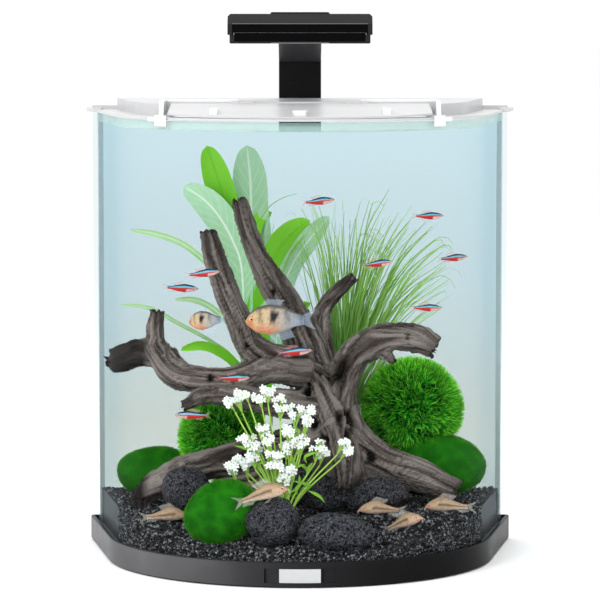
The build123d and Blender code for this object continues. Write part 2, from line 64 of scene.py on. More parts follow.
# ------------ plan outline, read from the frame
BACK = corner("base_frame", 1)[1]
FRONT = corner("base_frame", 0)[1]
PANE_LO, PANE_HI = corner("front_pane", 0), corner("front_pane", 1)
RIM = PANE_HI[2]
GLASS_T = corner("back_pane", 1)[1] - corner("back_pane", 0)[1]
BOW_R = 175.5                     # radius of the bowed front of the base tray
BOW_Y = FRONT + BOW_R
BASE_CORNER = (197.5, BACK - BOW_Y)
reach = math.hypot(*BASE_CORNER)
SIDE = math.atan2(BASE_CORNER[1], BASE_CORNER[0]) - math.atan2(math.sqrt(reach**2 - BOW_R**2), BOW_R)
INNER = PANE_LO[1] - FRONT + GLASS_T
WATER_Z = 393.5
REFLECTION_BAND_TOP = RIM - 0.8              # top of the painted reflection band above the water line
BED_LOW = corner("gravel_bed", 0)[2]


def outline(inset, n=96):
    """Counter-clockwise points of the half-moon set in by inset, starting at the right back corner."""
    r = BOW_R - inset
    y1 = BACK - inset
    x1 = (r - math.sin(SIDE) * (y1 - BOW_Y)) / math.cos(SIDE)
    angles = np.linspace(SIDE, -math.pi - SIDE, n)
    bow = np.stack([r * np.cos(angles), BOW_Y + r * np.sin(angles)], 1)
    return np.vstack([[(x1, y1)], bow, [(-x1, y1)]])


def inside(x, y, inset):
    """True where a point stands inside the outline set in by inset."""
    r = BOW_R - inset
    side = np.abs(x) * math.cos(SIDE) + (y - BOW_Y) * math.sin(SIDE) < r
    bow = (np.hypot(x, y - BOW_Y) < r) | (y > BOW_Y + r * math.sin(SIDE))
    return side & bow & (y < BACK - inset)


# ------------ mesh helpers
def add_mesh(name, verts, faces, material, slot, body="tank", smooth=True, colors=None, vectors=None,
             replaces=(), mat_index=None):
    """Makes one piece from millimetre vertices; colors and vectors are per-vertex attributes."""
    mesh = bpy.data.meshes.new(name)
    mesh.from_pydata((np.asarray(verts, float) * MM).tolist(), [], [tuple(map(int, f)) for f in faces])
    mesh.validate()
    if colors is not None:
        attr = mesh.color_attributes.new(name="Col", type="FLOAT_COLOR", domain="POINT")
        rgba = np.ones((len(verts), 4), np.float32)
        rgba[:, :3] = colors
        attr.data.foreach_set("color", rgba.ravel())
    for key, values in (vectors or {}).items():
        attr = mesh.attributes.new(name=key, type="FLOAT_VECTOR", domain="POINT")
        attr.data.foreach_set("vector", np.asarray(values, np.float32).ravel())
    for m in material if isinstance(material, (list, tuple)) else [material]:
        mesh.materials.append(m)
    if mat_index is not None:
        mesh.polygons.foreach_set("material_index", np.asarray(mat_index, np.int32))
    mesh.polygons.foreach_set("use_smooth", [smooth] * len(mesh.polygons))
    mesh.update()
    obj = bpy.data.objects.new(name, mesh)
    scene.collection.objects.link(obj)
    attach(obj, body)
    if replaces:
        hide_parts(*replaces)
    return obj


def unit(vectors):
    """The vectors at length one."""
    return vectors / (np.linalg.norm(vectors, axis=-1, keepdims=True) + 1e-9)


def random_directions(n):
    return unit(rng.normal(size=(n, 3)))


def quads(rows, sides, closed=True, start=0):
    """Faces between neighbouring rows of vertices, each row a ring or, if not closed, a line."""
    return [tuple(start + q for q in (i * sides + j, i * sides + (j + 1) % sides,
                                      (i + 1) * sides + (j + 1) % sides, (i + 1) * sides + j))
            for i in range(rows - 1) for j in range(sides if closed else sides - 1)]


def capped(rows, sides):
    """The quads of a closed sweep with a face on both ends."""
    ends = [tuple(range(sides))[::-1], tuple((rows - 1) * sides + j for j in range(sides))]
    return quads(rows, sides) + ends


def between(a, b, share):
    """Share 0 is a and share 1 is b, for colours and points."""
    return a + (b - a) * share


class Build:
    """Collects vertices, faces and attributes of many small shapes for one mesh."""

    def __init__(self):
        self.v, self.f, self.c, self.a, self.m, self.n = [], [], [], [], [], 0

    def add(self, verts, faces, color=(1, 1, 1), attr=None, mat=0):
        verts = np.asarray(verts, float)
        self.v.append(verts)
        self.f.extend([tuple(i + self.n for i in face) for face in faces])
        self.c.append(np.broadcast_to(np.asarray(color, float), (len(verts), 3)))
        self.a.append(np.zeros((len(verts), 3)) if attr is None else np.asarray(attr, float))
        self.m.extend([mat] * len(faces))
        self.n += len(verts)

    def make(self, name, material, slot, **kw):
        return add_mesh(name, np.vstack(self.v), self.f, material, slot, colors=np.vstack(self.c),
                        vectors={"leaf": np.vstack(self.a)}, mat_index=self.m, **kw)


def spline(points, step):
    """Catmull-Rom curve through the points, any number of columns, sampled about every step."""
    p = np.asarray(points, float)
    p = np.vstack([2 * p[0] - p[1], p, 2 * p[-1] - p[-2]])
    out = []
    for i in range(1, len(p) - 2):
        n = max(2, int(np.linalg.norm((p[i + 1] - p[i])[:3]) / step))
        t = np.linspace(0, 1, n, endpoint=False)[:, None]
        a, b, c, d = p[i - 1], p[i], p[i + 1], p[i + 2]
        square, cube = 2 * a - 5 * b + 4 * c - d, 3 * b - a - 3 * c + d
        out.append(0.5 * (2 * b + (c - a) * t + square * t**2 + cube * t**3))
    return np.vstack(out + [p[-2:-1]])


def frames(line):
    """Tangents and two steady normals along a polyline."""
    tan = unit(np.gradient(line, axis=0))
    ref = np.array([0, 1, 0]) if abs(tan[0][1]) < 0.8 else np.array([1, 0, 0])
    side = []
    for t in tan:
        ref = unit(ref - t * np.dot(ref, t))
        side.append(ref)
    side = np.array(side)
    return tan, side, np.cross(tan, side)


def tube(line, radii, sides=12):
    """A capped tube along a polyline."""
    line, radii = np.asarray(line, float), np.asarray(radii, float)
    _, a, b = frames(line)
    ang = np.linspace(0, 2 * math.pi, sides, endpoint=False)
    ring = a[:, None] * np.cos(ang)[None, :, None] + b[:, None] * np.sin(ang)[None, :, None]
    verts = (line[:, None] + ring * radii[:, None, None]).reshape(-1, 3)
    return verts, capped(len(line), sides)


def ribbon(line, widths, face_to, across=4, cup=0.15, twist=0.0):
    """A leaf blade, its flat side towards face_to: vertices, faces and leaf coordinates (s, t, 0)."""
    line, widths = np.asarray(line, float), np.asarray(widths, float)
    tan, _, _ = frames(line)
    side = unit(np.cross(tan, np.asarray(face_to, float)))
    up = np.cross(side, tan)
    s = np.linspace(0, 1, len(line))
    turn = twist * s
    side, up = (side * np.cos(turn)[:, None] + up * np.sin(turn)[:, None],
                up * np.cos(turn)[:, None] - side * np.sin(turn)[:, None])
    t = np.linspace(-1, 1, across + 1)
    verts = (line[:, None] + side[:, None] * (t[None, :, None] * widths[:, None, None] / 2)
             + up[:, None] * (t**2)[None, :, None] * (widths * cup)[:, None, None])
    attr = np.stack(np.broadcast_arrays(s[:, None], t[None, :], 0.0), -1)
    return verts.reshape(-1, 3), quads(len(line), across + 1, closed=False), attr.reshape(-1, 3)


def ico(level):
    """Unit icosphere vertices and faces."""
    bm = bmesh.new()
    bmesh.ops.create_icosphere(bm, subdivisions=level, radius=1.0)
    bm.verts.ensure_lookup_table()
    verts = np.array([v.co[:] for v in bm.verts])
    faces = [tuple(v.index for v in f.verts) for f in bm.faces]
    bm.free()
    return verts, faces


def field(points, scale, octaves=3, offset=0.0):
    """Fractal noise, about -1 to 1, at each point."""
    off = Vector((offset, offset * 1.7, -offset))
    return np.array([noise.fractal(Vector(p) * scale + off, 0.9, 2.1, octaves) for p in points])


def turned(points, rx=0.0, ry=0.0, rz=0.0):
    """The points turned about X, then Y, then Z, in degrees."""
    m = Matrix.Rotation(math.radians(rz), 3, "Z") @ Matrix.Rotation(math.radians(ry), 3, "Y")
    m = m @ Matrix.Rotation(math.radians(rx), 3, "X")
    return np.asarray(points) @ np.array(m).T


# ------------ material helpers
class Nodes:
    """A small writer for one material's node tree."""

    def __init__(self, name):
        self.mat = bpy.data.materials.new(name)
        self.mat.use_nodes = True
        self.tree = self.mat.node_tree
        self.tree.nodes.clear()
        self.out = self.tree.nodes.new("ShaderNodeOutputMaterial")
        self.pos = self.new("ShaderNodeTexCoord").outputs["Object"]

    def new(self, kind, **props):
        node = self.tree.nodes.new(kind)
        for key, value in props.items():
            setattr(node, key, value)
        return node

    def link(self, a, b):
        self.tree.links.new(a, b)

    def put(self, node, socket, value):
        if isinstance(value, bpy.types.NodeSocket):
            self.link(value, node.inputs[socket])
        else:
            node.inputs[socket].default_value = value

    def stretch(self, source, scale):
        node = self.new("ShaderNodeMapping")
        self.put(node, "Vector", source)
        node.inputs["Scale"].default_value = scale
        return node.outputs[0]

    def noise(self, scale, detail=3.0, rough=0.55, source=None):
        node = self.new("ShaderNodeTexNoise")
        self.put(node, "Vector", source or self.pos)
        node.inputs["Scale"].default_value = scale
        node.inputs["Detail"].default_value = detail
        node.inputs["Roughness"].default_value = rough
        return node.outputs["Fac"]

    def cells(self, scale, feature="F1", source=None):
        node = self.new("ShaderNodeTexVoronoi", feature=feature)
        self.put(node, "Vector", source or self.pos)
        node.inputs["Scale"].default_value = scale
        return node.outputs["Distance"]

    def split(self, vector):
        """X, Y and Z of a vector."""
        node = self.new("ShaderNodeSeparateXYZ")
        self.link(vector, node.inputs[0])
        return node.outputs

    def ramp(self, fac, stops):
        node = self.new("ShaderNodeValToRGB")
        self.put(node, "Fac", fac)
        el = node.color_ramp.elements
        while len(el) < len(stops):
            el.new(0.5)
        for e, (p, c) in zip(el, stops):
            e.position = p
            e.color = (*c, 1) if not isinstance(c, (int, float)) else (c, c, c, 1)
        return node.outputs["Color"]

    def fade(self, fac, zero, one):
        """A mask that goes from 0 to 1 between two values, in either direction."""
        return self.ramp(fac, sorted([(zero, 0.0), (one, 1.0)]))

    def mixed(self, fac, a, b, blend="MIX"):
        node = self.new("ShaderNodeMix", data_type="RGBA", blend_type=blend)
        for i, value in ((0, fac), (6, a), (7, b)):
            if isinstance(value, bpy.types.NodeSocket):
                self.link(value, node.inputs[i])
            else:
                node.inputs[i].default_value = value if isinstance(value, (int, float)) else (*value, 1)
        return node.outputs[2]

    def math(self, op, a, b=0.0, clamp=False):
        node = self.new("ShaderNodeMath", operation=op, use_clamp=clamp)
        self.put(node, 0, a)
        self.put(node, 1, b)
        return node.outputs[0]

    def times(self, a, b):
        return self.math("MULTIPLY", a, b)

    def plus(self, a, b):
        return self.math("ADD", a, b)

    def attribute(self, name, output="Color"):
        node = self.new("ShaderNodeAttribute", attribute_name=name)
        return node.outputs[output]

    def bump(self, height, strength, distance):
        node = self.new("ShaderNodeBump")
        self.put(node, "Height", height)
        node.inputs["Strength"].default_value = strength
        node.inputs["Distance"].default_value = distance
        return node.outputs[0]

    def principled(self, color, rough=0.4, metallic=0.0, normal=None, **extra):
        node = self.new("ShaderNodeBsdfPrincipled")
        self.put(node, "Base Color", color if isinstance(color, bpy.types.NodeSocket) else (*color, 1))
        self.put(node, "Roughness", rough)
        node.inputs["Metallic"].default_value = metallic
        if normal is not None:
            self.link(normal, node.inputs["Normal"])
        for key, value in extra.items():
            node.inputs[key.replace("_", " ")].default_value = value
        return node.outputs[0]

    def clear(self, color=(1, 1, 1)):
        node = self.new("ShaderNodeBsdfTransparent")
        self.put(node, "Color", color if isinstance(color, bpy.types.NodeSocket) else (*color, 1))
        return node.outputs[0]

    def layered(self, share, under, over):
        """Share of the shader over, the rest of the shader under."""
        node = self.new("ShaderNodeMixShader")
        for i, value in enumerate((share, under, over)):
            self.put(node, i, value)
        return node.outputs[0]

    def finish(self, shader):
        self.link(shader, self.out.inputs["Surface"])
        return self.mat


def srgb(r, g, b):
    """Linear colour of an 8-bit screen colour."""
    c = np.array([r, g, b]) / 255
    return np.where(c <= 0.04045, c / 12.92, ((c + 0.055) / 1.055) ** 2.4)


def moulded(name, color, rough, grain=1400.0, depth=0.00004, wear=0.25, spec=0.5, ior=1.45):
    """Moulded plastic: fine spark-eroded grain, faint cloudy roughness and slightly paler handling marks."""
    n = Nodes(name)
    cloud = n.noise(14.0, 4.0)
    base = n.mixed(n.times(cloud, wear), color, tuple(min(1.0, c * 1.35 + 0.008) for c in color))
    roughness = n.plus(n.times(n.noise(60.0, 3.0), 0.12), rough - 0.06)
    normal = n.bump(n.noise(grain, 2.0), 0.25, depth)
    return n.finish(n.principled(base, roughness, normal=normal, Specular_IOR_Level=spec, IOR=ior))


def clear_material(name, tint, body=None, body_share=0.0, edge=None, gloss_rough=0.02, ior=1.5, ripple=0.0,
                   cloud=0.0, shine=0.8, graze=None):
    """Clear sheet: tinted see-through, Fresnel gloss, and a share of milky body colour."""
    n = Nodes(name)
    color = tint
    if graze is not None:
        facing = n.new("ShaderNodeLayerWeight")
        facing.inputs["Blend"].default_value = 0.5
        color = n.mixed(n.math("POWER", facing.outputs["Facing"], 4.0), tint, graze)
    shader = n.clear(color)
    if body is not None:
        share = body_share
        if cloud:
            share = n.plus(n.times(n.noise(45.0, 3.0), cloud), body_share - cloud / 2)
        shader = n.layered(share, shader, n.principled(body, 0.3))
    geometry = n.new("ShaderNodeNewGeometry")
    if edge is not None:
        flat = n.math("GREATER_THAN", n.math("ABSOLUTE", n.split(geometry.outputs["Normal"])[2]), 0.85)
        shader = n.layered(n.times(flat, 0.72), shader, n.principled(edge, 0.15))
    gloss = n.new("ShaderNodeBsdfAnisotropic")
    gloss.inputs["Roughness"].default_value = gloss_rough
    gloss.inputs["Color"].default_value = (1, 1, 1, 1)
    fresnel = n.new("ShaderNodeFresnel")
    fresnel.inputs["IOR"].default_value = ior
    if ripple:
        n.link(n.bump(n.noise(22.0, 2.0), ripple, 0.002), gloss.inputs["Normal"])
    # rays leaving the sheet go straight on, so only the entry side shines
    entering = n.math("SUBTRACT", 1.0, geometry.outputs["Backfacing"])
    share = n.times(n.times(fresnel.outputs[0], shine), entering)
    return n.finish(n.layered(share, shader, gloss.outputs[0]))


def paint(material, *nodes):
    """Gives CAD nodes their finish."""
    for name in nodes:
        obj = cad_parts[name]
        if not obj.data.materials:
            obj.data.materials.append(material)
        for i in range(len(obj.data.materials)):
            obj.data.materials[i] = material
        for s in obj.material_slots:
            s.material = material


# ------------ finishes of the CAD pieces
paint(moulded("tray_black", srgb(17, 17, 18), 0.3, wear=0.15, spec=0.1, ior=1.25), "base_frame")
paint(moulded("post_black", srgb(14, 14, 15), 0.26, wear=0.15, spec=0.1),
      "lamp_post", "post_cover", "cable_gland", "clamp_screw")
# the neck is painted a lighter grey than the black post: a painted reflection of the white floor on its
# down-facing face
paint(moulded("neck_painted_reflection", srgb(60, 60, 62), 0.38, spec=0.15), "lamp_neck")
paint(moulded("lamp_black", srgb(26, 26, 27), 0.27, wear=0.15, spec=0.22),
      "lamp_shell", "lamp_tray", "switch_bezel")
paint(moulded("switch_dark", srgb(52, 52, 55), 0.22), "switch_button")
paint(moulded("slat_gloss", srgb(3, 3, 4), 0.12, grain=500.0, depth=0.00001, wear=0.1, spec=0.05),
      "slat_upper", "slat_lower")
paint(moulded("foot_rubber", srgb(38, 38, 38), 0.75, grain=900.0, depth=0.0001), "inner_pad", "clamp_pad",
      *[f"rubber_foot_{i}" for i in range(1, 5)])
paint(moulded("foam_grey", srgb(70, 70, 72), 0.85, grain=1800.0, depth=0.0003), "foam_mat")
paint(moulded("driver_black", srgb(34, 34, 36), 0.4), "lamp_driver")


def brushed(name, color, rough, scale=(20, 900, 900)):
    """Metal with fine streaks; scale stretches them along one axis."""
    n = Nodes(name)
    streak = n.noise(3.0, 4.0, source=n.stretch(n.pos, scale))
    base = n.mixed(streak, color, tuple(c * 0.86 for c in color))
    roughness = n.plus(n.times(streak, 0.15), rough)
    return n.finish(n.principled(base, roughness, 1.0, n.bump(streak, 0.15, 0.00003)))


paint(brushed("badge_satin", (0.66, 0.67, 0.68), 0.3), "badge_plate")
paint(brushed("pin_metal", (0.62, 0.62, 0.63), 0.25), "tilt_pin", "hinge_pin_left", "hinge_pin_right")
paint(brushed("screw_metal", (0.55, 0.55, 0.56), 0.3, (600, 600, 20)), "lamp_screw_left", "lamp_screw_right")


def led_material():
    """White coated board; the chips stand out as small pale yellow fields on its underside."""
    n = Nodes("led_board_white")
    low = n.math("LESS_THAN", n.split(n.pos)[2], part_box("led_board")[0][2] + 0.0006)
    base = n.mixed(low, n.mixed(n.noise(90.0), (0.75, 0.76, 0.75), (0.66, 0.67, 0.66)), (0.9, 0.78, 0.3))
    return n.finish(n.principled(base, 0.35))


paint(led_material(), "led_board")
GLASS = clear_material("glass_clear", (0.985, 0.993, 0.992), edge=srgb(118, 160, 146), shine=0.06, ior=1.4,
                       graze=(0.80, 0.88, 0.91))
paint(GLASS, "front_pane", "back_pane", "floor_pane")
SILICONE = clear_material("silicone_clear", (0.9, 0.93, 0.93), body=(0.72, 0.78, 0.78), body_share=0.35,
                          gloss_rough=0.2, cloud=0.2)
paint(SILICONE, "seam_left", "seam_right", "seam_floor")
SHEET = clear_material("lid_plastic", (0.97, 0.975, 0.98), body=(0.55, 0.55, 0.56), body_share=0.84,
                       gloss_rough=0.3, cloud=0.12, shine=0.12)
paint(SHEET, "lid_panel", "feeding_flap")
RIBS = clear_material("lid_milky", (0.95, 0.96, 0.97), body=(0.8, 0.8, 0.8), body_share=0.88, gloss_rough=0.2,
                      cloud=0.1, shine=0.2)
paint(RIBS, "flap_tab", *[f"{name}_{side}" for name in ("hinge_bar", "lid_strap", "lid_clip", "flap_bracket")
                          for side in ("left", "right")])
LENS = clear_material("lens_clear", (0.95, 0.96, 0.96), body=(0.8, 0.82, 0.82), body_share=0.3, cloud=0.1)
paint(LENS, "lamp_lens")


# ------------ painted highlight lines of the lamp head
def lamp_painted_highlights():
    """Thin bright bars that paint the highlights framing the two slats and along the middle of the lower lip.
    """
    slats = [(corner(name, 0), corner(name, 1)) for name in ("slat_upper", "slat_lower")]
    tray = corner("lamp_tray", 0)
    band, end_band, lip_half = 0.45, 0.9, 26
    y_upper = corner("lamp_shell", 0)[1] + 0.15
    y_lower = slats[1][0][1] + 0.1
    b = Build()

    def bar(x0, x1, z0, z1, y):
        """A flat bar with its front edges taken off."""
        verts = []
        for dy, cut in ((0.0, 0.12), (0.1, 0.0), (0.5, 0.0)):
            left, right, low, high = x0 + cut, x1 - cut, z0 + cut, z1 - cut
            verts += [(x, y + dy, z) for x, z in ((left, low), (right, low), (right, high), (left, high))]
        b.add(verts, [(3, 2, 1, 0), (8, 9, 10, 11)] + quads(3, 4))

    for (low, high), y, height in zip(slats, (y_upper, y_lower), (band, band * 0.7)):
        bar(low[0], high[0], high[2], high[2] + height, y)
    for sign in (-1, 1):
        for (low, high), y in zip(slats, (y_upper, y_lower)):
            x = sign * high[0]
            bar(min(x, x + sign * end_band), max(x, x + sign * end_band), low[2] + 0.2, high[2], y)
    bar(-lip_half, lip_half, tray[2] + 0.15, tray[2] + 0.75, tray[1] - 0.12)
    # the bars are painted highlights, in a pale brushed finish
    highlight_finish = brushed("lamp_highlight_paint", (0.34, 0.34, 0.35), 0.3, (900, 20, 900))
    b.make("lamp_painted_highlights", highlight_finish, "lamp_case", body="lamp", smooth=False)


# ------------ water
def water_wall_material():
    """Darker and greyer towards the bottom and bluer towards the top, on the back wall alone, so that the
    tint is seen once.
    """
    n = Nodes("water_wall")
    _, y, z = n.split(n.pos)
    height = n.math("DIVIDE", z, WATER_Z * MM, clamp=True)
    # the colour goes darker and greyer towards the bottom
    deep = n.ramp(height, [(0.0, (0.44, 0.48, 0.46)), (0.3, (0.49, 0.53, 0.50)), (0.6, (0.58, 0.70, 0.74)),
                           (1.0, (0.67, 0.83, 0.89))])
    back = n.math("GREATER_THAN", y, (BACK - INNER - 2) * MM)
    return n.finish(n.clear(n.mixed(back, (0.98, 0.988, 0.992), deep)))


def water():
    """The water's walls, floor and top, and a band of painted reflection on the bow and sides above it."""
    ring = outline(INNER + 0.15)
    n = len(ring)
    verts = np.vstack([np.column_stack([ring, np.full(n, z)]) for z in (BED_LOW + 3, WATER_Z, REFLECTION_BAND_TOP)])
    top = clear_material("water_top", (0.80, 0.90, 0.88), ior=1.33, gloss_rough=0.04, ripple=0.25)
    # a milky grey-green sheet from the water line up to the rim: a painted reflection of the water surface
    # seen at a grazing angle
    reflection_band = clear_material("painted_waterline_reflection", (0.9, 0.96, 0.94), body=srgb(164, 194, 188), body_share=0.5,
                          cloud=0.25, shine=0.1)
    faces = quads(2, n) + [tuple(range(n)), tuple(range(2 * n - 1, n - 1, -1))]
    faces += quads(2, n, closed=False, start=n)
    index = [0] * n + [0, 1] + [2] * (n - 1)
    return add_mesh("water_body", verts, faces, [water_wall_material(), top, reflection_band], "glass", smooth=False,
                    mat_index=index)


lamp_painted_highlights()
water()

# ------------ driftwood
# The trunk and the limbs that grow out of it: stations of (x, y, z, radius)
TRUNK = [(8, -4, 178, 17), (20, -8, 152, 24), (30, -10, 126, 27), (37, -10, 96, 25), (36, -4, 64, 25),
         (36, 0, 42, 25)]
LIMBS = [
    [(16, -6, 165, 18), (6, 2, 192, 19), (-6, 8, 218, 16), (-20, 17, 242, 14), (-34, 24, 266, 11),
     (-46, 30, 292, 9), (-56, 35, 326, 7.5)],
    [(6, -14, 178, 16), (-22, -26, 186, 14), (-43, -33, 198, 13), (-54, -37, 222, 11.5),
     (-66, -39, 250, 10.5), (-75, -41, 276, 9.5), (-82, -42, 302, 8)],
    [(6, -18, 176, 16), (-26, -34, 178, 14), (-54, -40, 170, 11.5), (-84, -34, 168, 11),
     (-108, -24, 171, 13), (-122, -14, 184, 12.5), (-130, -7, 196, 11), (-130, -8, 212, 7.5),
     (-128, -9, 228, 6.5)],
    [(-118, -16, 184, 12), (-136, 2, 190, 12), (-154, 20, 184, 11.5), (-170, 38, 176, 10.5)],
    [(14, -18, 142, 15), (-32, -44, 150, 12), (-62, -56, 156, 10), (-86, -61, 157, 8.5),
     (-104, -63, 146, 5.5)],
    [(18, 2, 172, 14), (18, 12, 200, 11), (20, 20, 224, 7.5), (32, 24, 240, 7), (50, 28, 256, 5.5)],
    [(31, -11, 140, 19), (38, -18, 166, 15), (48, -24, 188, 13), (66, -28, 202, 13), (86, -32, 207, 12),
     (106, -36, 205, 11.5), (121, -38, 197, 10)],
    [(62, -27, 202, 10), (78, -34, 190, 5), (84, -36, 184, 4)],
    [(38, -11, 118, 20), (60, -10, 101, 17), (86, -8, 86, 15.5), (114, -11, 76, 15), (140, -16, 64, 12.5)],
    [(26, -11, 116, 19), (-8, -9, 108, 16), (-41, -6, 98, 15.5), (-78, -8, 90, 14), (-107, -11, 82, 13),
     (-132, -6, 68, 11), (-144, -2, 56, 9), (-140, -8, 42, 7)],
    [(31, -21, 126, 18), (36, -34, 104, 12), (39, -44, 84, 9), (38, -47, 72, 6)],
    [(34, -6, 92, 22), (8, -10, 80, 17), (-26, -8, 72, 15), (-62, -8, 66, 12), (-84, -8, 60, 9)],
    [(36, -4, 84, 22), (66, -6, 70, 17), (96, -6, 58, 12)],
    [(24, -16, 130, 18), (2, -22, 112, 13), (-18, -28, 104, 11), (-38, -30, 112, 8)],
]
# Hollows and knot holes on the trunk: x, y, z, radius, depth
HOLLOWS = [(29, -34, 178, 15, 9), (36, -38, 136, 7, 5), (48, -30, 134, 9, 6), (44, -36, 118, 7, 5),
           (6, -30, 158, 6, 4), (-6, -8, 214, 5, 3), (96, -44, 207, 4, 2), (-24, 6, 243, 4, 3),
           (12, -34, 128, 6, 4), (64, -26, 96, 6, 3), (-60, -24, 92, 5, 2.5), (-48, -48, 198, 4, 3),
           (22, -38, 112, 6, 5), (-80, -46, 172, 4, 2.5)]


VOXEL = 0.0017                    # metres between the points of the remeshed wood
DARK_END_FROM = -134                 # the left branch is darkened beyond this x
DARK_END_BELOW = 200                 # and below this height


def driftwood_core():
    """Trunk and limbs melted into one skin, and the centre line stations it came from."""
    parts, bones, grain_u, rad, tips = Build(), [], [], [], []
    for k, limb in enumerate([TRUNK] + LIMBS):
        line = spline(limb, 4.0)
        wobble = 1 + 0.13 * field(line[:, :3], 0.045, 2, 3.1 * k)
        parts.add(*tube(line[:, :3], line[:, 3] * wobble, 14))
        bones.append(line[:, :3])
        step = np.r_[0, np.cumsum(np.linalg.norm(np.diff(line[:, :3], axis=0), axis=1))]
        grain_u.append(step + 400 * k)
        rad.append(line[:, 3])
        tips.append(line[-1, :4])
    mesh = bpy.data.meshes.new("driftwood_raw")
    mesh.from_pydata((np.vstack(parts.v) * MM).tolist(), [], parts.f)
    raw = bpy.data.objects.new("driftwood_raw", mesh)
    scene.collection.objects.link(raw)
    remesh = raw.modifiers.new("remesh", "REMESH")
    remesh.mode, remesh.voxel_size = "VOXEL", VOXEL
    soft = raw.modifiers.new("soft", "SMOOTH")
    soft.factor, soft.iterations = 0.5, 6
    solid = bpy.data.meshes.new_from_object(raw.evaluated_get(bpy.context.evaluated_depsgraph_get()))
    bpy.data.objects.remove(raw)
    v = np.array([p.co[:] for p in solid.vertices]) / MM
    normal = np.array([p.vector[:] for p in solid.vertex_normals])
    faces = [tuple(p.vertices) for p in solid.polygons]
    bpy.data.meshes.remove(solid)
    return v, normal, faces, np.vstack(bones), np.concatenate(grain_u), np.concatenate(rad), tips


def driftwood_grain(v, bone, u, r):
    """Noise coordinates that run along the nearest limb, stretched lengthwise."""
    near = np.empty(len(v), int)
    for i in range(0, len(v), 4000):
        d = np.linalg.norm(v[i:i + 4000, None] - bone[None], axis=2) / r[None]
        near[i:i + 4000] = d.argmin(1)
    tan = unit(np.gradient(bone, axis=0))
    off = v - bone[near]
    along = u[near] + (off * tan[near]).sum(1)
    around = unit(off - tan[near] * (off * tan[near]).sum(1)[:, None])
    size = np.sqrt(r[near] / 12.0)[:, None]
    x, y, z = (around * size * 2.1).T
    return np.column_stack([along * 0.011, x + z * 0.7, y - z * 0.4])


def driftwood_material():
    """Grey fibres along the grain; the vertex colour holds painted shade and the darkened ends, the ridge and
    the fine relief, which give a painted highlight on the ridges and painted shade in the low relief.
    """
    n = Nodes("driftwood_grey")
    q = n.attribute("grain", "Vector")
    data = n.new("ShaderNodeSeparateColor")
    n.link(n.attribute("Col"), data.inputs[0])
    fibre = n.noise(3.4, 6.0, 0.7, q)
    patch = n.noise(26.0, 3.0)
    base = n.ramp(fibre, [(0.32, srgb(34, 28, 26)), (0.47, srgb(92, 82, 78)), (0.66, srgb(150, 140, 134))])
    base = n.mixed(n.times(patch, 0.4), base, srgb(86, 77, 72))
    # painted highlight on the high ridges
    painted_ridge_highlight = n.fade(data.outputs[1], 0.36, 0.62)
    base = n.mixed(n.times(painted_ridge_highlight, 0.45), base, srgb(152, 143, 137))
    # painted shade in the low fine relief
    painted_low_shade = n.fade(data.outputs[2], 0.5, 0.34)
    base = n.mixed(n.times(painted_low_shade, 0.55), base, srgb(44, 36, 33))
    # painted shade in the cracks, grooves and hollows and on the side away from the key light, with the
    # darkened ends
    base = n.mixed(data.outputs[0], base, srgb(17, 13, 11))
    height = n.plus(fibre, n.times(n.noise(900.0, 2.0), 0.3))
    return n.finish(n.principled(base, 0.78, normal=n.bump(height, 0.9, 0.002), Specular_IOR_Level=0.1))


def driftwood():
    """The root with its ridges, cracks, knot holes, frayed tips and darkened left end, with painted shade in
    the cracks, grooves and hollows and on the side away from the key light.
    """
    v, normal, faces, bone, u, r, tips = driftwood_core()
    grain = driftwood_grain(v, bone, u, r)
    ridge = field(grain, 1.0, 4)
    fine = field(grain * np.array([1.6, 3.4, 3.4]), 1.0, 3, 5.0)
    split = field(grain * np.array([0.9, 1.5, 1.5]), 1.0, 2, 9.0)
    crack = np.clip(1 - np.abs(split) / 0.07, 0, 1) * np.clip(field(v, 0.02, 2, 2.0) + 0.35, 0, 1)
    push = 2.0 * ridge + 1.5 * fine - 2.6 * crack
    # painted shade in the cracks and in the grooves between the ridges
    dark = crack * 0.9 + np.clip(-ridge * 1.6 - 0.12, 0, 0.6)
    # painted shade on the side turned away from the key light
    lit = normal @ (np.array([-0.55, -0.45, 0.70]))
    dark = np.maximum(dark, 0.62 * np.clip(0.42 - lit, 0, 1) ** 1.2)
    for x, y, z, rr, depth in HOLLOWS:
        d = np.linalg.norm((v - (x, y, z)) * (1, 1, 0.7), axis=1)
        ragged = d * (1 + 0.35 * fine)
        pit = np.clip(1 - ragged / rr, 0, 1)
        push -= depth * np.minimum(pit * 2.2, 1.0)
        # painted shade inside the hollows
        dark = np.maximum(dark, np.minimum(pit * 2.6, 1.0))
    for x, y, z, rr in tips:
        d = np.linalg.norm(v - (x, y, z), axis=1)
        end = np.clip(1.5 - d / (rr * 1.15), 0, 1)
        push += end * (2.2 * fine - 1.0)
        dark = np.maximum(dark, end * np.clip(0.55 + 1.2 * fine, 0, 0.95))
    # the end of the left branch is darkened
    dark_end = np.clip((DARK_END_FROM - v[:, 0]) * 0.12, 0, 0.96) * (v[:, 2] < DARK_END_BELOW)
    dark = np.maximum(dark, dark_end * np.clip(0.9 + 0.5 * fine, 0, 1))
    push += dark_end * 2.0 * fine
    v = v + normal * np.clip(push, -8, 3)[:, None]
    v[:, 2] = np.maximum(v[:, 2], BED_LOW + 4)
    shade = np.column_stack([dark, 0.5 + 0.5 * ridge, 0.5 + 0.5 * fine])
    return add_mesh("driftwood_root", v, faces, driftwood_material(), "driftwood", colors=shade,
                    vectors={"grain": grain}, replaces=["driftwood"])


driftwood()


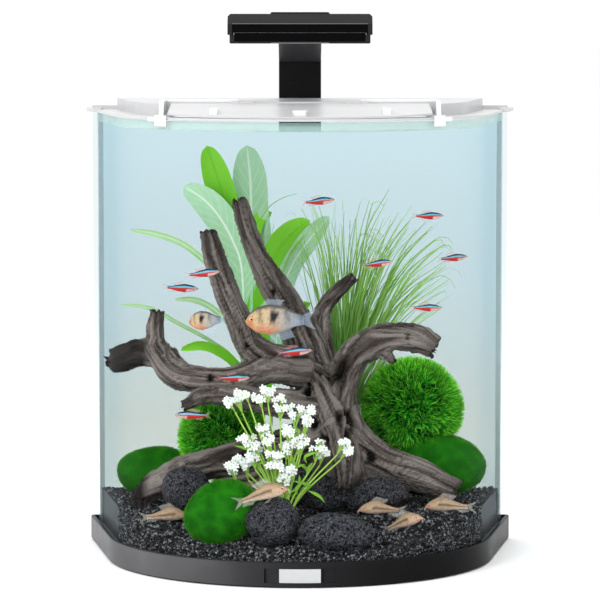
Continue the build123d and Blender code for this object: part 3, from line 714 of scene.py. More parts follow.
# ------------ stones
def lava_material():
    """Dark grey rock with two sizes of pores, painted near black inside as painted shade."""
    n = Nodes("lava_porous")
    warp = n.mixed(0.012, n.pos, n.new("ShaderNodeTexNoise").outputs["Color"], "ADD")
    pores = n.cells(330.0, source=warp)
    fine = n.cells(800.0, source=warp)
    hole = n.times(n.fade(pores, 0.30, 0.44), n.ramp(fine, [(0.2, 0.2), (0.42, 1.0)]))
    speck = n.noise(620.0, 3.0, 0.75)
    base = n.ramp(speck, [(0.36, srgb(36, 36, 40)), (0.52, srgb(66, 66, 72)), (0.72, srgb(132, 132, 142))])
    base = n.mixed(n.times(n.noise(40.0), 0.5), base, srgb(44, 44, 48))
    # painted shade: the pores are painted near black
    base = n.mixed(hole, srgb(6, 6, 8), base)
    return n.finish(n.principled(base, 0.6, normal=n.bump(hole, 0.9, 0.0015), Specular_IOR_Level=0.2))


def lava_stone(node, semi, turn, seed, where=None):
    """A lumpy ellipsoid of the given half sizes, pitted all over."""
    verts, faces = ico(5)
    centre = middle(node) if where is None else np.array(where, float)
    lump = 1 + 0.10 * field(verts, 1.3, 3, seed)
    p = verts * np.array(semi) * lump[:, None]
    pits = np.array([noise.voronoi(Vector(q) * 0.33 + Vector((seed, 0, 0)))[0][0] for q in p])
    p -= verts * (np.clip(0.42 - pits, 0, 0.42) * 2.6)[:, None]
    p += verts * (0.35 * field(p, 0.5, 2, seed))[:, None]
    p = turned(p, *turn) + centre
    return add_mesh(node.replace("lava_stone", "lava_rock"), p, faces, LAVA, "lava", replaces=[node])


LAVA = lava_material()
lava_stone("lava_stone_1", (22, 14, 20.5), (0, 10, 0), 1.0)
lava_stone("lava_stone_2", (23, 17, 22.5), (0, -8, 0), 2.0)
lava_stone("lava_stone_3", (28.5, 14, 17), (0, 20, 0), 3.0, (18, -28, 67))
lava_stone("lava_stone_4", (33, 17, 18), (0, 4, 0), 4.0)
lava_stone("lava_stone_5", (27, 12, 16), (0, -12, 0), 5.0, (67, -34, 64))


def moss_material(name, low, high):
    """Vertex colour carries the root-to-tip change, with painted shade at the roots and a painted sheen round
    the outlines; noise breaks it up.
    """
    n = Nodes(name)
    base = n.mixed(n.noise(520.0, 4.0, 0.7), n.attribute("Col"), low, "MIX")
    base = n.mixed(0.45, base, n.attribute("Col"))
    base = n.mixed(n.times(n.noise(35.0, 2.0), 0.15), base, high)
    return n.finish(n.principled(base, 0.7, Specular_IOR_Level=0.08))


MOSS = moss_material("moss_green", srgb(10, 78, 4), srgb(40, 136, 14))


def moss_stone(node, semi, turn, seed, where=None):
    """A stone under a short dense pile, with a painted sheen where the pile is seen edge-on and painted shade
    at its roots.
    """
    fibres = 11000
    verts, faces = ico(5)
    centre = middle(node) if where is None else np.array(where, float)
    semi = np.array(semi, float)
    lump = 1 + 0.05 * field(verts, 1.1, 2, seed)
    body = verts * semi * lump[:, None]
    body += verts * (0.35 * field(body, 0.35, 2, seed))[:, None]
    tone = np.clip(0.35 + 0.9 * field(body, 0.12, 3, seed + 4), 0, 1)
    dark, mid, lime = srgb(10, 84, 4), srgb(38, 134, 12), srgb(134, 206, 62)
    b = Build()
    b.add(turned(body, *turn) + centre, faces, between(dark, mid, tone[:, None]))
    d = random_directions(fibres)
    root = d * semi * (1 + 0.05 * field(d, 1.1, 2, seed))[:, None]
    out = unit(d / semi)
    lean = unit(out + 0.32 * rng.normal(size=d.shape))
    side = unit(np.cross(lean, rng.normal(size=d.shape)))
    length = rng.uniform(0.9, 2.0, fibres)[:, None]
    tri = np.stack([root - side * 0.28, root + side * 0.28, root + lean * length], 1).reshape(-1, 3)
    # the pile's tips are painted paler round the stone's outline seen from the front, a painted sheen, and
    # its roots darker as painted shade; noise and chance add the moss's own tone
    painted_rim_sheen = (1 - np.abs(out[:, 1])) ** 1.5
    light = (0.5 * painted_rim_sheen + 0.25 * field(root, 0.12, 2, seed + 4) + 0.7 * rng.random(fibres) ** 2.5)[:, None]
    root_c = between(mid, dark, 1 - light)
    tip_c = between(mid, lime, light)
    color = np.stack([root_c, root_c, tip_c], 1).reshape(-1, 3)
    b.add(turned(tri, *turn) + centre, [(3 * i, 3 * i + 1, 3 * i + 2) for i in range(fibres)], color)
    return b.make(node.replace("stone", "mound"), MOSS, "moss", replaces=[node])


moss_stone("moss_stone_left", (35, 21, 23), (0, -4, 0), 1.0)
moss_stone("moss_stone_front", (33, 20, 27.5), (0, -24, 0), 2.0, (-69, -95, 58))
moss_stone("moss_stone_right", (45, 19, 27.5), (0, 10, 0), 3.0, (126, 44, 83))


def moss_ball(node, centre, radius, seed, sprigs):
    """Round plant: sprigs of fine needles that fan out from a dark core, on its stake; the core and the
    needle roots are painted shade deep in the ball, and the needles round the outline get a painted sheen.
    """
    b = Build()
    core, faces = ico(4)
    core_r = radius * 0.74
    # the near-black core is painted shade deep inside the ball
    b.add(core * (core_r * (1 + 0.05 * field(core, 3.0, 2, seed)))[:, None] + centre, faces, srgb(6, 44, 8))
    bottom = corner(node, 0)[2]
    line = [(centre[0], centre[1], bottom), (centre[0], centre[1], centre[2] - core_r * 0.9)]
    b.add(*tube(line, [7.5, 8.5], 16), srgb(40, 52, 22))
    needles = 9
    d = random_directions(sprigs)
    foot = np.repeat(d * core_r * rng.uniform(0.93, 1.02, sprigs)[:, None], needles, 0)
    d = np.repeat(d, needles, 0)
    n = len(d)
    spread = np.repeat(rng.uniform(0.5, 1.1, sprigs), needles)[:, None]
    aim = unit(d + spread * rng.normal(size=(n, 3)))
    aim = np.where((aim * d).sum(1)[:, None] < 0.1, d, aim)
    length = (radius - core_r) * rng.uniform(0.75, 1.15, n)[:, None]
    bend = d * length * 0.25
    side = unit(np.cross(aim, rng.normal(size=(n, 3))))
    w = rng.uniform(0.5, 0.9, n)[:, None]
    mid = foot + aim * length * 0.55 + bend * 0.3
    tip = foot + aim * length + bend
    over = np.linalg.norm(tip, axis=1)[:, None] / radius
    tip = tip / np.maximum(over, 1.0)
    needle = np.stack([foot - side * w * 0.6, foot + side * w * 0.6, mid + side * w, mid - side * w, tip], 1)
    needle_faces = [tuple(5 * i + k for k in face) for i in range(n) for face in ((0, 1, 2, 3), (3, 2, 4))]
    tone = (0.75 * np.repeat(rng.random(sprigs), needles) ** 1.5 + 0.35 * rng.random(n))[:, None]
    # painted sheen: needles round the outline seen from the front turn yellower
    painted_rim_sheen = np.clip(np.hypot(d[:, 0], d[:, 2]) - 0.55, 0, 1)[:, None] * 0.9
    # painted shade at the needle roots; the tips are the plant's own pale green
    root_c = srgb(2, 50, 4) * (0.5 + 0.8 * tone)
    mid_c = srgb(24, 172, 30) * (0.25 + 1.6 * tone) + srgb(60, 100, 10) * painted_rim_sheen
    tip_c = srgb(150, 250, 70) * (0.3 + 1.6 * tone) + srgb(120, 140, 30) * painted_rim_sheen
    color = np.stack([root_c, root_c, mid_c, mid_c, tip_c], 1).reshape(-1, 3)
    b.add(needle.reshape(-1, 3) + centre, needle_faces, color)
    return b.make(node.replace("moss_ball", "moss_pompom"), MOSS, "moss", replaces=[node])


BALL_RIGHT, BALL_LEFT = np.array([103, 67, 130]), np.array([-71, 49, 106])
moss_ball("moss_ball_right", BALL_RIGHT, 50, 1.0, 1250)
moss_ball("moss_ball_left", BALL_LEFT, 43, 2.0, 1000)


# ------------ gravel
def bed_height(y):
    """Top of the gravel along the depth."""
    ys = [FRONT + 4, BACK - 180, BACK - 110, BACK - 4]
    return np.interp(y, ys, [22, 45, 53, 50])


def gravel():
    """A dark bed under loose chips, with more chips against the curved glass."""
    ring = outline(INNER + 2.2, 64)
    steps = np.linspace(1.0, 0.0, 36)
    focus = np.array([0, 20])
    rings = [np.column_stack([ring, np.full(len(ring), BED_LOW)])]
    for s in steps:
        xy = focus + (ring - focus) * s
        z = bed_height(xy[:, 1]) + 1.2 * field(np.column_stack([xy, np.zeros(len(xy))]), 0.05, 2) - 1.4
        rings.append(np.column_stack([xy, z]))
    faces = [tuple(range(len(ring)))] + quads(len(rings), len(ring))
    b = Build()
    b.add(np.vstack(rings), faces, srgb(18, 18, 20))
    chip = np.array([(1, 0, 0), (-1, 0, 0), (0, 1, 0), (0, -1, 0), (0, 0, 1), (0, 0, -1)], float)
    chip_faces = [(0, 2, 4), (2, 1, 4), (1, 3, 4), (3, 0, 4), (2, 0, 5), (1, 2, 5), (3, 1, 5), (0, 3, 5)]

    def scatter(xyz, size):
        """Adds one irregular chip at each point, turned by a random quaternion."""
        m = len(xyz)
        w, x, y, z = unit(rng.normal(size=(m, 4))).T
        rot = np.stack([1 - 2 * (y * y + z * z), 2 * (x * y - z * w), 2 * (x * z + y * w),
                        2 * (x * y + z * w), 1 - 2 * (x * x + z * z), 2 * (y * z - x * w),
                        2 * (x * z - y * w), 2 * (y * z + x * w), 1 - 2 * (x * x + y * y)], 1)
        rot = rot.reshape(-1, 3, 3)
        shape = chip[None] * rng.uniform(0.55, 1.15, (m, 6, 1)) * size[:, None, None]
        p = np.einsum("mij,mkj->mki", rot, shape) + xyz[:, None]
        tone = rng.random(m)
        grey = np.where(tone > 0.74, rng.uniform(0.05, 0.32, m), rng.uniform(0.003, 0.03, m))
        color = np.repeat(grey[:, None] * np.array([1.0, 1.0, 1.06]), 6, 0)
        faces = np.array(chip_faces)[None] + 6 * np.arange(m)[:, None, None]
        b.add(p.reshape(-1, 3), faces.reshape(-1, 3).tolist(), color)

    want, wall_chips = 16500, 6500
    x, y = rng.uniform(-190, 190, want * 3), rng.uniform(FRONT + 8, BACK - 8, want * 3)
    keep = inside(x, y, INNER + 2.6) & ((y < 40) | (rng.random(len(x)) < 0.35))
    x, y = x[keep][:want], y[keep][:want]
    size = rng.uniform(1.0, 1.9, len(x))
    top = bed_height(y) + 1.2 * field(np.column_stack([x, y, 0 * x]), 0.05, 2)
    scatter(np.column_stack([x, y, top - size * 0.5 + rng.uniform(-0.4, 0.9, len(x))]), size)
    wall = outline(INNER + 1.5, 900)
    p = wall[rng.integers(0, len(wall), wall_chips)]
    z = between(BED_LOW, bed_height(p[:, 1]), rng.uniform(0.0, 1.0, len(p)))
    scatter(np.column_stack([p + rng.normal(0, 0.15, p.shape), z]), rng.uniform(0.9, 1.3, len(p)))

    n = Nodes("gravel_grain")
    speck = n.noise(900.0, 3.0, 0.7)
    base = n.mixed(n.fade(speck, 0.56, 0.8), n.attribute("Col"), srgb(120, 120, 126))
    mat = n.finish(n.principled(base, 0.45, normal=n.bump(speck, 0.6, 0.0004), Specular_IOR_Level=0.12))
    return b.make("gravel_grains", mat, "gravel", smooth=False, replaces=["gravel_bed"])


gravel()


# ------------ plants
def leaf_material(name, vein, vein_share):
    """Leaf blade: midrib and side veins from the (s, t) leaf coordinates, mottled between them."""
    n = Nodes(name)
    s, t, _ = n.split(n.attribute("leaf", "Vector"))
    t = n.math("ABSOLUTE", t)
    rib = n.fade(t, 0.10, 0.03)
    lines = n.plus(n.times(s, 26.0), n.times(t, -2.2))
    wave = n.math("ABSOLUTE", n.math("SINE", n.times(lines, math.pi)))
    side = n.times(n.fade(wave, 0.22, 0.0), vein_share)
    base = n.mixed(n.times(n.noise(180.0, 4.0), 0.4), n.attribute("Col"), vein)
    base = n.mixed(side, base, vein)
    base = n.mixed(rib, base, vein)
    height = n.plus(side, rib)
    shine = n.principled(base, 0.38, normal=n.bump(height, 0.35, 0.0006), Subsurface_Weight=0.1,
                         Subsurface_Scale=0.004, Specular_IOR_Level=0.2)
    return n.finish(shine)


LEAF_LIME = leaf_material("leaf_lime", srgb(116, 200, 40), 0.35)
LEAF_MINT = leaf_material("leaf_mint", srgb(222, 240, 224), 0.6)
LIME_LOW, LIME_TIP = srgb(58, 150, 12), srgb(138, 218, 56)
MINT_LOW, MINT_TIP = srgb(96, 178, 96), srgb(164, 214, 170)
Y_SWORD = 88.0
# Sword plant leaves: (x, z) midrib points, widest width, kind, depth offset
SWORD = [
    ([(-46, 60), (-50, 150), (-54, 215), (-58, 262), (-66, 305), (-75, 338), (-86, 372)], 27, "lime", 0),
    ([(-38, 60), (-36, 180), (-38, 252), (-42, 288), (-45, 312), (-46, 340), (-49, 372)], 33, "mint", 6),
    ([(-50, 60), (-52, 200), (-54, 258), (-62, 284), (-74, 306), (-88, 322), (-107, 335)], 28, "mint", -5),
    ([(-44, 60), (-50, 180), (-60, 236), (-86, 263), (-109, 281), (-134, 290), (-158, 294)], 6, "pale", 2),
    ([(-34, 60), (-34, 190), (-31, 238), (-26, 262), (-17, 280), (-7, 291), (9, 303)], 25, "lime", -2),
    ([(-30, 60), (-22, 190), (-15, 240), (-7, 262), (4, 279), (14, 292), (27, 307)], 19, "mint", -8),
    ([(-40, 60), (-46, 200), (-48, 262), (-45, 282), (-42, 294), (-37, 304), (-26, 310)], 15, "lime", 8),
    ([(-42, 60), (-50, 130), (-60, 172), (-80, 190), (-110, 207), (-138, 222), (-166, 226)], 4, "pale", -12),
    ([(-42, 60), (-50, 150), (-62, 172), (-78, 184), (-92, 188), (-104, 186), (-110, 184)], 9, "lime", -14),
    ([(-42, 60), (-50, 150), (-58, 196), (-72, 214), (-86, 225), (-100, 230), (-116, 230)], 6, "pale", -10),
    ([(-40, 60), (-30, 150), (-22, 180), (-14, 200), (-6, 214), (2, 222), (10, 226)], 14, "lime", 4),
]


def sword_plant():
    """Broad leaves on long stems and two thin shoots behind them."""
    b = Build()
    for points, width, kind, dy in SWORD:
        pts = [(x, Y_SWORD + dy * (0.3 + 0.7 * i / 6), z) for i, (x, z) in enumerate(points)]
        line = spline(pts, 3.0)
        s = np.linspace(0, 1, len(line))
        stem, blunt = 0.46, 0.74
        blade = np.clip((s - stem) / (1 - stem), 0, 1)
        grow = np.clip(blade / 0.62, 0, 1)
        rounding = (np.clip(blade - blunt, 0, 1) / (1 - blunt)) ** 2.4
        w = width * np.sqrt(grow * (2 - grow)) * np.sqrt(np.clip(1 - rounding, 0, 1))
        w = np.maximum(w, 1.7 + 1.4 * (1 - s)) * (1 + 0.05 * field(line, 0.05, 2, width))
        w[-1] = 0.2
        line[:, 1] += 2.5 * np.sin(s * 9 + width)
        v, f, a = ribbon(line, w, (0.12, -1, 0.1), across=8, cup=0.12, twist=0.25)
        low, tip = (LIME_LOW, LIME_TIP) if kind == "lime" else (MINT_LOW, MINT_TIP)
        if kind == "pale":
            low, tip = srgb(90, 164, 60), srgb(150, 196, 120)
        b.add(v, f, between(low, tip, a[:, :1] ** 1.6), a, 0 if kind == "lime" else 1)
    for pts in ([(-36, 80, 305), (-28, 80, 316), (-16, 80, 324), (-3, 80, 328)],
                [(-40, 82, 250), (-30, 80, 270), (-24, 78, 300)]):
        line = spline(pts, 3.0)
        b.add(*tube(line, np.linspace(0.5, 0.22, len(line)), 5), srgb(150, 170, 110))
    b.make("sword_leaves", [LEAF_LIME, LEAF_MINT], "plant", replaces=["sword_plant"])


def grass_plant():
    """A tuft of thin blades; their tips follow a listed row and some hook over."""
    b = Build()
    blades, drooping = 230, 0.35
    base = np.array([38, 69, 46])
    tips = [(-2, 300), (8, 312), (16, 316), (26, 300), (32, 318), (45, 306), (54, 322), (62, 317),
            (72, 309), (84, 318), (90, 300), (100, 309), (108, 300), (120, 309), (128, 296), (133, 280),
            (124, 262), (140, 262), (112, 276), (96, 286), (78, 284), (58, 288), (40, 276), (22, 280),
            (70, 262), (92, 262), (106, 250), (48, 258)]
    for i in range(blades):
        tx, tz = tips[i % len(tips)]
        tx, tz = tx + rng.normal(0, 5), tz + rng.normal(-6, 10)
        if rng.random() < drooping:
            tz -= rng.uniform(10, 60)
        ty = base[1] + rng.normal(0, 9)
        root = base + (rng.normal(0, 3.2), rng.normal(0, 2.0), 0)
        lean = (tx - base[0])
        pts = [root, root + (lean * 0.06 + rng.normal(0, 2), rng.normal(0, 2), 70),
               (root[0] + lean * 0.22 + rng.normal(0, 3), (root[1] * 2 + ty) / 3, 46 + (tz - 46) * 0.55),
               (root[0] + lean * 0.60, (root[1] + ty * 2) / 3, 46 + (tz - 46) * 0.85), (tx, ty, tz)]
        if i % 7 == 0:
            pts.append((tx + math.copysign(rng.uniform(6, 14), lean), ty, tz - rng.uniform(2, 14)))
        line = spline(pts, 9.0)
        s = np.linspace(0, 1, len(line))
        w = rng.uniform(1.3, 2.1) * np.sqrt(np.clip(1.02 - s, 0, 1)) + 0.15
        v, f, a = ribbon(line, w, (rng.normal(0, 0.4), -1, 0), across=2, cup=0.25, twist=rng.normal(0, 0.8))
        low = srgb(40, 132, 20) * rng.uniform(0.6, 1.3)
        tip = srgb(170, 214, 104) * rng.uniform(0.75, 1.1)
        b.add(v, f, between(low, tip, np.clip(a[:, :1] * 1.15 - 0.15, 0, 1) ** 1.1), a)
    mat = leaf_material("grass_blade", srgb(120, 186, 90), 0.0)
    b.make("grass_blades", mat, "plant", replaces=["grass_plant"])


Y_FLOWER = -76.0
# Flower heads: (x, z, radius of the cluster)
HEADS = [(-30, 165, 8), (-36, 158, 6), (-18, 152, 9), (-56, 157, 8), (-63, 153, 5), (-49, 161, 5),
         (-3, 145, 10), (6, 138, 9), (-9, 128, 8), (8, 146, 6), (-46, 120, 9), (-40, 113, 8), (-28, 121, 8),
         (-33, 131, 6), (-12, 114, 8), (2, 119, 9), (17, 113, 8), (-22, 108, 9), (39, 117, 6), (42, 110, 5),
         (-62, 95, 8), (-50, 97, 8), (-43, 104, 6), (-22, 97, 9), (-10, 94, 8), (-15, 86, 7), (-56, 103, 5),
         (22, 107, 6)]


def flower_plant():
    """White five-petalled flowers in loose heads on thin stems, with small leaves between."""
    b = Build()
    root = np.array([-14, Y_FLOWER, 34])
    petal, centre, petals, leaflets = 1, 2, 5, 22
    for hx, hz, hr in HEADS:
        y = Y_FLOWER + rng.uniform(-6, 5)
        head = np.array([hx, y, hz])
        start = root + (rng.normal(0, 2), rng.normal(0, 1.5), 0)
        neck = head + (-(hx + 14) * 0.12, 0, -hr * 1.7)
        line = spline([start, start * 0.55 + neck * 0.45 + ((hx + 14) * -0.12, 0, 4), neck], 4.0)
        b.add(*tube(line, np.linspace(1.25, 0.7, len(line)), 6), srgb(104, 152, 40) * rng.uniform(0.8, 1.2))
        for _ in range(int(4 + hr * 0.9)):
            d = unit(rng.normal(size=3))
            d[1] = -abs(d[1])
            c = head + d * hr * rng.uniform(0.35, 0.95) * (1, 0.7, 0.8)
            twig = spline([neck, (neck + c) / 2 + (0, 0, 1), c + (0, 0.6, -1)], 2.0)
            b.add(*tube(twig, np.full(len(twig), 0.4), 4), srgb(132, 176, 70))
            face = unit(d * 0.7 + np.array([0, -0.9, 0.35]) + rng.normal(size=3) * 0.25)
            a = unit(np.cross(face, (0.3, 0.2, 1)))
            e = np.cross(face, a)
            size = rng.uniform(2.6, 3.6)
            for k in range(petals):
                ang = k * 2 * math.pi / petals + rng.uniform(0, 0.3)
                along = a * math.cos(ang) + e * math.sin(ang)
                wide = np.cross(face, along)
                edge = ((0, 0, 0), (0.45, 0.30, 0.3), (0.95, 0.24, 0.5), (1.02, 0, 0.3), (0.95, -0.24, 0.5),
                        (0.45, -0.30, 0.3))
                pts = [c + along * size * out + wide * size * over + face * lift for out, over, lift in edge]
                b.add(pts, [(0, 1, 2, 3), (0, 3, 4, 5)], (0.93, 0.93, 0.93), mat=petal)
            eye, eye_f = ico(1)
            b.add(eye * 0.55 + c + face * 0.4, eye_f, srgb(196, 206, 110), mat=centre)
    for _ in range(leaflets):
        p = root + np.array([rng.uniform(-34, 36), rng.uniform(-5, 3), rng.uniform(24, 90)])
        line = spline([p, p + (rng.normal(0, 4), -1, 6), p + (rng.normal(0, 7), -2, 11)], 2.0)
        s = np.linspace(0, 1, len(line))
        v, f, a = ribbon(line, 3.0 * np.sin(np.pi * np.clip(s, 0.08, 0.98)), (0, -1, 0.2), 2, 0.2)
        b.add(v, f, srgb(96, 150, 36) * rng.uniform(0.8, 1.2), a)
    n = Nodes("petal_white")
    tint = n.mixed(n.noise(600.0, 3.0), (0.93, 0.93, 0.92), (0.86, 0.88, 0.84))
    white = n.finish(n.principled(tint, 0.55, Subsurface_Weight=0.1, Subsurface_Scale=0.002))
    green = leaf_material("flower_stem", srgb(150, 190, 80), 0.0)
    b.make("flower_sprays", [green, white, green], "plant", replaces=["flower_plant"])


sword_plant()
grass_plant()
flower_plant()


# ------------ fish
def fish_material():
    """Wet scales over the vertex colour, with a few dark specks."""
    n = Nodes("fish_skin")
    scales = n.cells(1300.0, "SMOOTH_F1")
    base = n.mixed(n.times(scales, 0.3), n.attribute("Col"), (0.02, 0.02, 0.025))
    base = n.mixed(n.ramp(n.noise(420.0, 3.0, 0.7), [(0.5, 0.0), (0.75, 0.6)]), base, srgb(70, 60, 52))
    return n.finish(n.principled(base, 0.3, normal=n.bump(scales, 0.2, 0.0002), Specular_IOR_Level=0.2))


def fin_material():
    """Thin see-through skin, denser along the rays."""
    n = Nodes("fish_fin")
    _, across, _ = n.split(n.attribute("leaf", "Vector"))
    rays = n.math("ABSOLUTE", n.math("SINE", n.times(across, 24.0)))
    share = n.ramp(rays, [(0.0, 0.6), (0.6, 0.25)])
    return n.finish(n.layered(share, n.clear(), n.principled(n.attribute("Col"), 0.35)))


SKIN, FIN = fish_material(), fin_material()


def neon_color(t, v):
    """Blue back, bright stripe, red flank, silver belly."""
    c = np.where(v > 0.4, srgb(22, 44, 84), srgb(190, 36, 30))
    stripe = (v > 0.12) & (v <= 0.52)
    c = np.where(stripe, srgb(112, 202, 228), c)
    belly = (v < -0.3) & (t < 0.4)
    c = np.where(belly, srgb(216, 178, 170), c)
    return np.where((v > 0.85), srgb(30, 44, 60), c)


def ram_color(t, v):
    """Gold front, blue rear, an orange belly, dark bars and one dark spot."""
    gold, blue = srgb(206, 178, 138), srgb(140, 154, 172)
    c = between(gold, blue, np.clip((t - 0.3) * 1.6, 0, 1))
    belly = np.clip(-v * 1.4 - 0.2, 0, 0.8) * np.clip(1.5 - np.abs(t - 0.32) * 5, 0, 1)
    c = between(c, srgb(212, 130, 90), belly)
    bars = np.clip(np.sin(t * 27 + 1.2 + 0.8 * v) - 0.2, 0, 1) * np.clip(v + 0.7, 0, 1)
    c = c * (1 - 0.75 * bars)
    c = np.where((t < 0.13) & (v < 0.4), srgb(204, 132, 84), c)
    spot = (np.hypot((t - 0.46) * 3.2, (v - 0.25) * 0.8) < 0.26)
    c = np.where(spot, srgb(22, 22, 28), c)
    return np.where(v > 0.8, srgb(92, 84, 78), c)


def cory_color(t, v):
    """Pale tan with three dark lines along the rear half."""
    c = srgb(206, 172, 138) * (1.0 - 0.45 * np.clip(v, 0, 1))
    line = (np.abs(v - 0.02) < 0.09) & (t > 0.3)
    line |= (np.abs(v - 0.6) < 0.1) & (t > 0.4)
    line |= (np.abs(v + 0.5) < 0.08) & (t > 0.5)
    c = np.where(line, srgb(104, 82, 64), c)
    c = between(c, srgb(236, 206, 186), np.clip(-v * 1.6 - 0.3, 0, 0.9))
    return np.where((t < 0.14) & (v < 0.1), srgb(222, 160, 132), c)


# Body outlines from nose to tail root: t, top, bottom, half width (shares of body length)
NEON = [(0.0, 0.00, 0.00, 0.01), (0.06, 0.05, -0.045, 0.04), (0.2, 0.10, -0.10, 0.065),
        (0.42, 0.135, -0.135, 0.075), (0.65, 0.10, -0.11, 0.055), (0.85, 0.05, -0.06, 0.03),
        (1.0, 0.042, -0.045, 0.014)]
RAM = [(0.0, 0.00, -0.03, 0.02), (0.05, 0.10, -0.10, 0.06), (0.18, 0.215, -0.20, 0.10),
       (0.4, 0.275, -0.25, 0.12), (0.64, 0.23, -0.20, 0.09), (0.86, 0.115, -0.11, 0.045),
       (1.0, 0.085, -0.085, 0.02)]
CORY = [(0.0, -0.05, -0.09, 0.03), (0.08, 0.05, -0.13, 0.09), (0.25, 0.16, -0.15, 0.13),
        (0.42, 0.19, -0.14, 0.13), (0.65, 0.12, -0.10, 0.09), (0.88, 0.055, -0.055, 0.04),
        (1.0, 0.05, -0.05, 0.02)]
# Outline, colouring, fin colour and fins: name, place along the body, size
KINDS = {
    "neon": (NEON, neon_color, srgb(200, 140, 130),
             [("tail", 0.2, 0.24), ("dorsal", 0.42, 0.09), ("anal", 0.6, 0.06)]),
    "ram": (RAM, ram_color, srgb(168, 186, 206),
            [("tail", 0.24, 0.38), ("dorsal", 0.24, 0.13), ("anal", 0.5, 0.14), ("pelvic", 0.36, 0.22)]),
    "cory": (CORY, cory_color, srgb(206, 198, 190),
             [("tail", 0.24, 0.30), ("dorsal", 0.28, 0.13), ("anal", 0.7, 0.07), ("pelvic", 0.34, 0.10)]),
}


def fish(name, kind, at, length, heading=0.0, pitch=0.0, yaw=0.0):
    """One fish: lofted body, ray fins, eyes and barbels. Heading 0 faces +X, 180 faces -X."""
    shape, tint, fin_tint, fins = KINDS[kind]
    rows, sides = 22, 16
    s = np.array(shape)
    t = np.linspace(0, 1, rows) ** 1.15
    top, bottom, half = (np.interp(t, s[:, 0], s[:, k]) for k in (1, 2, 3))
    ang = np.linspace(0, 2 * math.pi, sides, endpoint=False)
    mid, rise = (top + bottom) / 2, (top - bottom) / 2
    z = mid[:, None] + rise[:, None] * np.sin(ang)[None]
    y = half[:, None] * np.cos(ang)[None] * np.abs(np.cos(ang))[None] ** 0.15
    x = np.broadcast_to(-t[:, None], z.shape)
    verts = np.stack([x, y, z], -1).reshape(-1, 3)
    tt, vv = np.repeat(t, sides)[:, None], np.tile(np.sin(ang), rows)[:, None]
    b = Build()
    parts = [(verts, capped(rows, sides), tint(tt, vv), None, 0)]

    def fin(root_a, root_b, tip_a, tip_b, notch=0.0):
        """A ray fin between a root edge and a tip edge, all (x, z) in body lengths."""
        n = 7
        u = np.linspace(0, 1, n)[:, None]
        root = between(np.array(root_a), np.array(root_b), u)
        tip = between(np.array(tip_a), np.array(tip_b), u)
        tip = between(tip, root, notch * np.sin(np.pi * u))
        grid = np.stack([root, (root + tip) / 2, tip], 1)
        wave = 0.012 * np.sin(5 * u)[:, 0]
        p = np.stack([grid[..., 0], np.stack([0 * wave, wave, 2 * wave], 1), grid[..., 1]], -1).reshape(-1, 3)
        attr = np.stack(np.broadcast_arrays(np.linspace(0, 1, 3)[None], u, 0.0), -1).reshape(-1, 3)
        parts.append((p, quads(n, 3, closed=False), fin_tint, attr, 1))

    for part, a, size in fins:
        if part == "tail":
            h = size
            fin((-0.98, top[-1]), (-0.98, bottom[-1]), (-0.98 - a, h * 0.5), (-0.98 - a, -h * 0.5), 0.55)
        elif part == "dorsal":
            z0 = np.interp([a, a + 0.3], t, top)
            fin((-a, z0[0] - 0.01), (-a - 0.34, z0[1] - 0.01), (-a - 0.12, z0[0] + size),
                (-a - 0.44, z0[1] + size * 0.7))
        elif part == "anal":
            z0 = np.interp([a, a + 0.25], t, bottom)
            fin((-a, z0[0] + 0.01), (-a - 0.26, z0[1] + 0.01), (-a - 0.12, z0[0] - size * 0.8),
                (-a - 0.34, z0[1] - size))
        else:
            z0 = np.interp(a, t, bottom)
            fin((-a, z0 + 0.02), (-a - 0.08, z0 + 0.02), (-a - 0.16, z0 - size * 0.7),
                (-a - 0.24, z0 - size * 0.55))
    for sign in (-1, 1):
        eye, eye_f = ico(2)
        ex, ez = -0.09, np.interp(0.09, t, mid) + 0.02
        ey = sign * np.interp(0.09, t, half) * 0.86
        r = 0.03 if kind != "ram" else 0.036
        iris, pupil = srgb(226, 214, 180), srgb(8, 8, 10)
        for wide, deep, out, tone in ((1.0, 0.5, 1.0, iris), (0.62, 0.45, 1.12, pupil)):
            ball = eye * (r * wide, r * deep, r * wide) + (ex, ey * out, ez)
            parts.append((ball, eye_f, tone, None, 0))
        if kind == "cory":
            barbel = [(-0.01, sign * 0.02, -0.08), (0.02, sign * 0.05, -0.12), (0.015, sign * 0.06, -0.17)]
            line = spline(barbel, 0.02)
            parts.append((*tube(line, np.linspace(0.008, 0.003, len(line)), 5), srgb(240, 226, 214), None, 0))
    for verts, faces, color, attr, mat in parts:
        p = (np.asarray(verts) + (0.5, 0, 0)) * length
        p = turned(turned(p, ry=-pitch), rz=heading + yaw) + np.array(at, float)
        b.add(p, faces, color, attr, mat)
    return b.make(name, [SKIN, FIN], "plant")


# Fish by kind: name, place, length, heading, pitch, yaw
SCHOOL = {
    "neon": [
        ("neon_1", (18, -51, 329), 26, 0, 6, -8), ("neon_2", (116, -21, 314), 25, 0, 0, 10),
        ("neon_3", (70, -41, 273), 25, 0, 8, -6), ("neon_4", (139, -1, 275), 25, 0, 4, 12),
        ("neon_5", (114, -36, 233), 25, 0, 0, -5), ("neon_6", (-84, -62, 266), 27, 0, 7, -4),
        ("neon_7", (-104, -41, 251), 28, 0, -4, 8), ("neon_8", (-3, -86, 199), 28, 0, 5, 0),
        ("neon_9", (-57, -71, 174), 26, 0, 0, 6), ("neon_10", (-97, -71, 141), 28, 180, 0, -5)],
    "ram": [("ram_large", (-22, -80, 226), 52, 180, 0, 8), ("ram_small", (-84, -64, 224), 33, 180, -6, -30)],
    "cory": [
        ("cory_1", (-31, -117, 78), 42, 0, 20, -10), ("cory_2", (-118, -64, 51), 36, 0, 4, 12),
        ("cory_3", (70, -66, 57), 36, 180, 6, 10), ("cory_4", (92, -84, 48), 36, 0, 24, -30),
        ("cory_5", (131, -46, 57), 38, 180, 3, -8)],
}
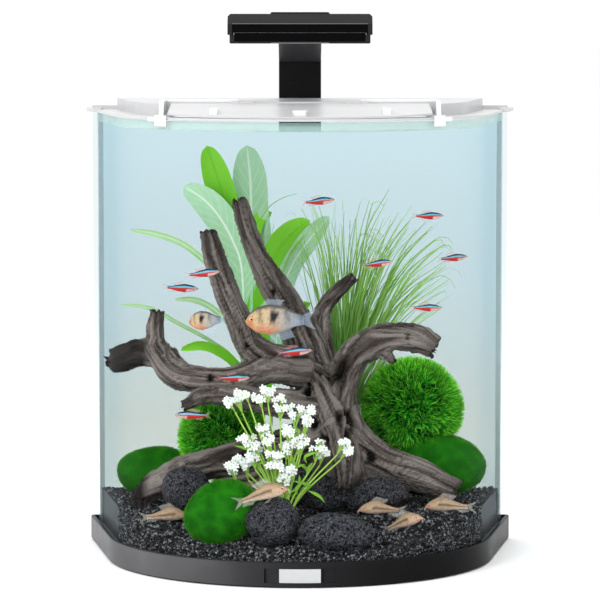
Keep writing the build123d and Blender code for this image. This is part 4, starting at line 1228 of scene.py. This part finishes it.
for kind, members in SCHOOL.items():
    for name, at, length, heading, pitch, yaw in members:
        fish(name, kind, at, length, heading, pitch, yaw)


# ------------ studio and camera
def studio():
    """A white room with a pale floor and soft lights."""
    n = Nodes("floor_pale")
    base = n.mixed(n.noise(3.0, 2.0), (0.96, 0.96, 0.96), (0.94, 0.94, 0.94))
    floor_mat = n.finish(n.principled(base, 0.8))
    mesh = bpy.data.meshes.new("floor")
    w = 30.0                        # half the floor's side
    mesh.from_pydata([(-w, -w, 0), (w, -w, 0), (w, w, 0), (-w, w, 0)], [], [(0, 1, 2, 3)])
    mesh.materials.append(floor_mat)
    floor = bpy.data.objects.new("floor", mesh)
    scene.collection.objects.link(floor)
    world = bpy.data.worlds.new("studio")
    world.use_nodes = True
    world.node_tree.nodes["Background"].inputs["Color"].default_value = (1.0, 1.0, 1.0, 1)
    world.node_tree.nodes["Background"].inputs["Strength"].default_value = 1.05
    scene.world = world
    scene.view_settings.view_transform = "Standard"

    def softbox(name, at, size, power, aim=(0, 0, 0.25)):
        lamp = bpy.data.lights.new(name, "AREA")
        lamp.shape, lamp.size, lamp.size_y, lamp.energy = "RECTANGLE", size[0], size[1], power
        obj = bpy.data.objects.new(name, lamp)
        obj.location = at
        obj.rotation_euler = (Vector(aim) - Vector(at)).to_track_quat("-Z", "Y").to_euler()
        obj.visible_glossy = name == "strip"
        scene.collection.objects.link(obj)
        return obj

    softbox("key", (-1.3, -1.7, 1.5), (1.0, 1.2), 34)
    softbox("fill", (1.5, -1.4, 0.9), (0.8, 1.2), 5)
    softbox("top", (0.0, 0.1, 1.8), (1.4, 1.0), 12)
    # a low strip for the long highlight on the left of the base tray alone
    strip = softbox("strip", (-0.62, -0.2, 0.08), (0.9, 0.14), 60, aim=(0, -0.05, 0.01))
    only_tray = bpy.data.collections.new("strip_receivers")
    only_tray.objects.link(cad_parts["base_frame"])
    strip.light_linking.receiver_collection = only_tray


def camera():
    """In front of the bow at the height of the lamp, looking slightly down, on the tank's middle plane."""
    distance = 3.23                 # from the back of the base
    height = 0.511
    down = 5.055
    cam = bpy.data.cameras.new("camera")
    cam.lens = 207.4
    cam.sensor_width = 36.0
    cam.clip_end = 100
    obj = bpy.data.objects.new("camera", cam)
    obj.location = (0, BACK * MM - distance, height)
    obj.rotation_euler = (math.radians(90 - down), 0, 0)
    scene.collection.objects.link(obj)
    scene.camera = obj


studio()
camera()
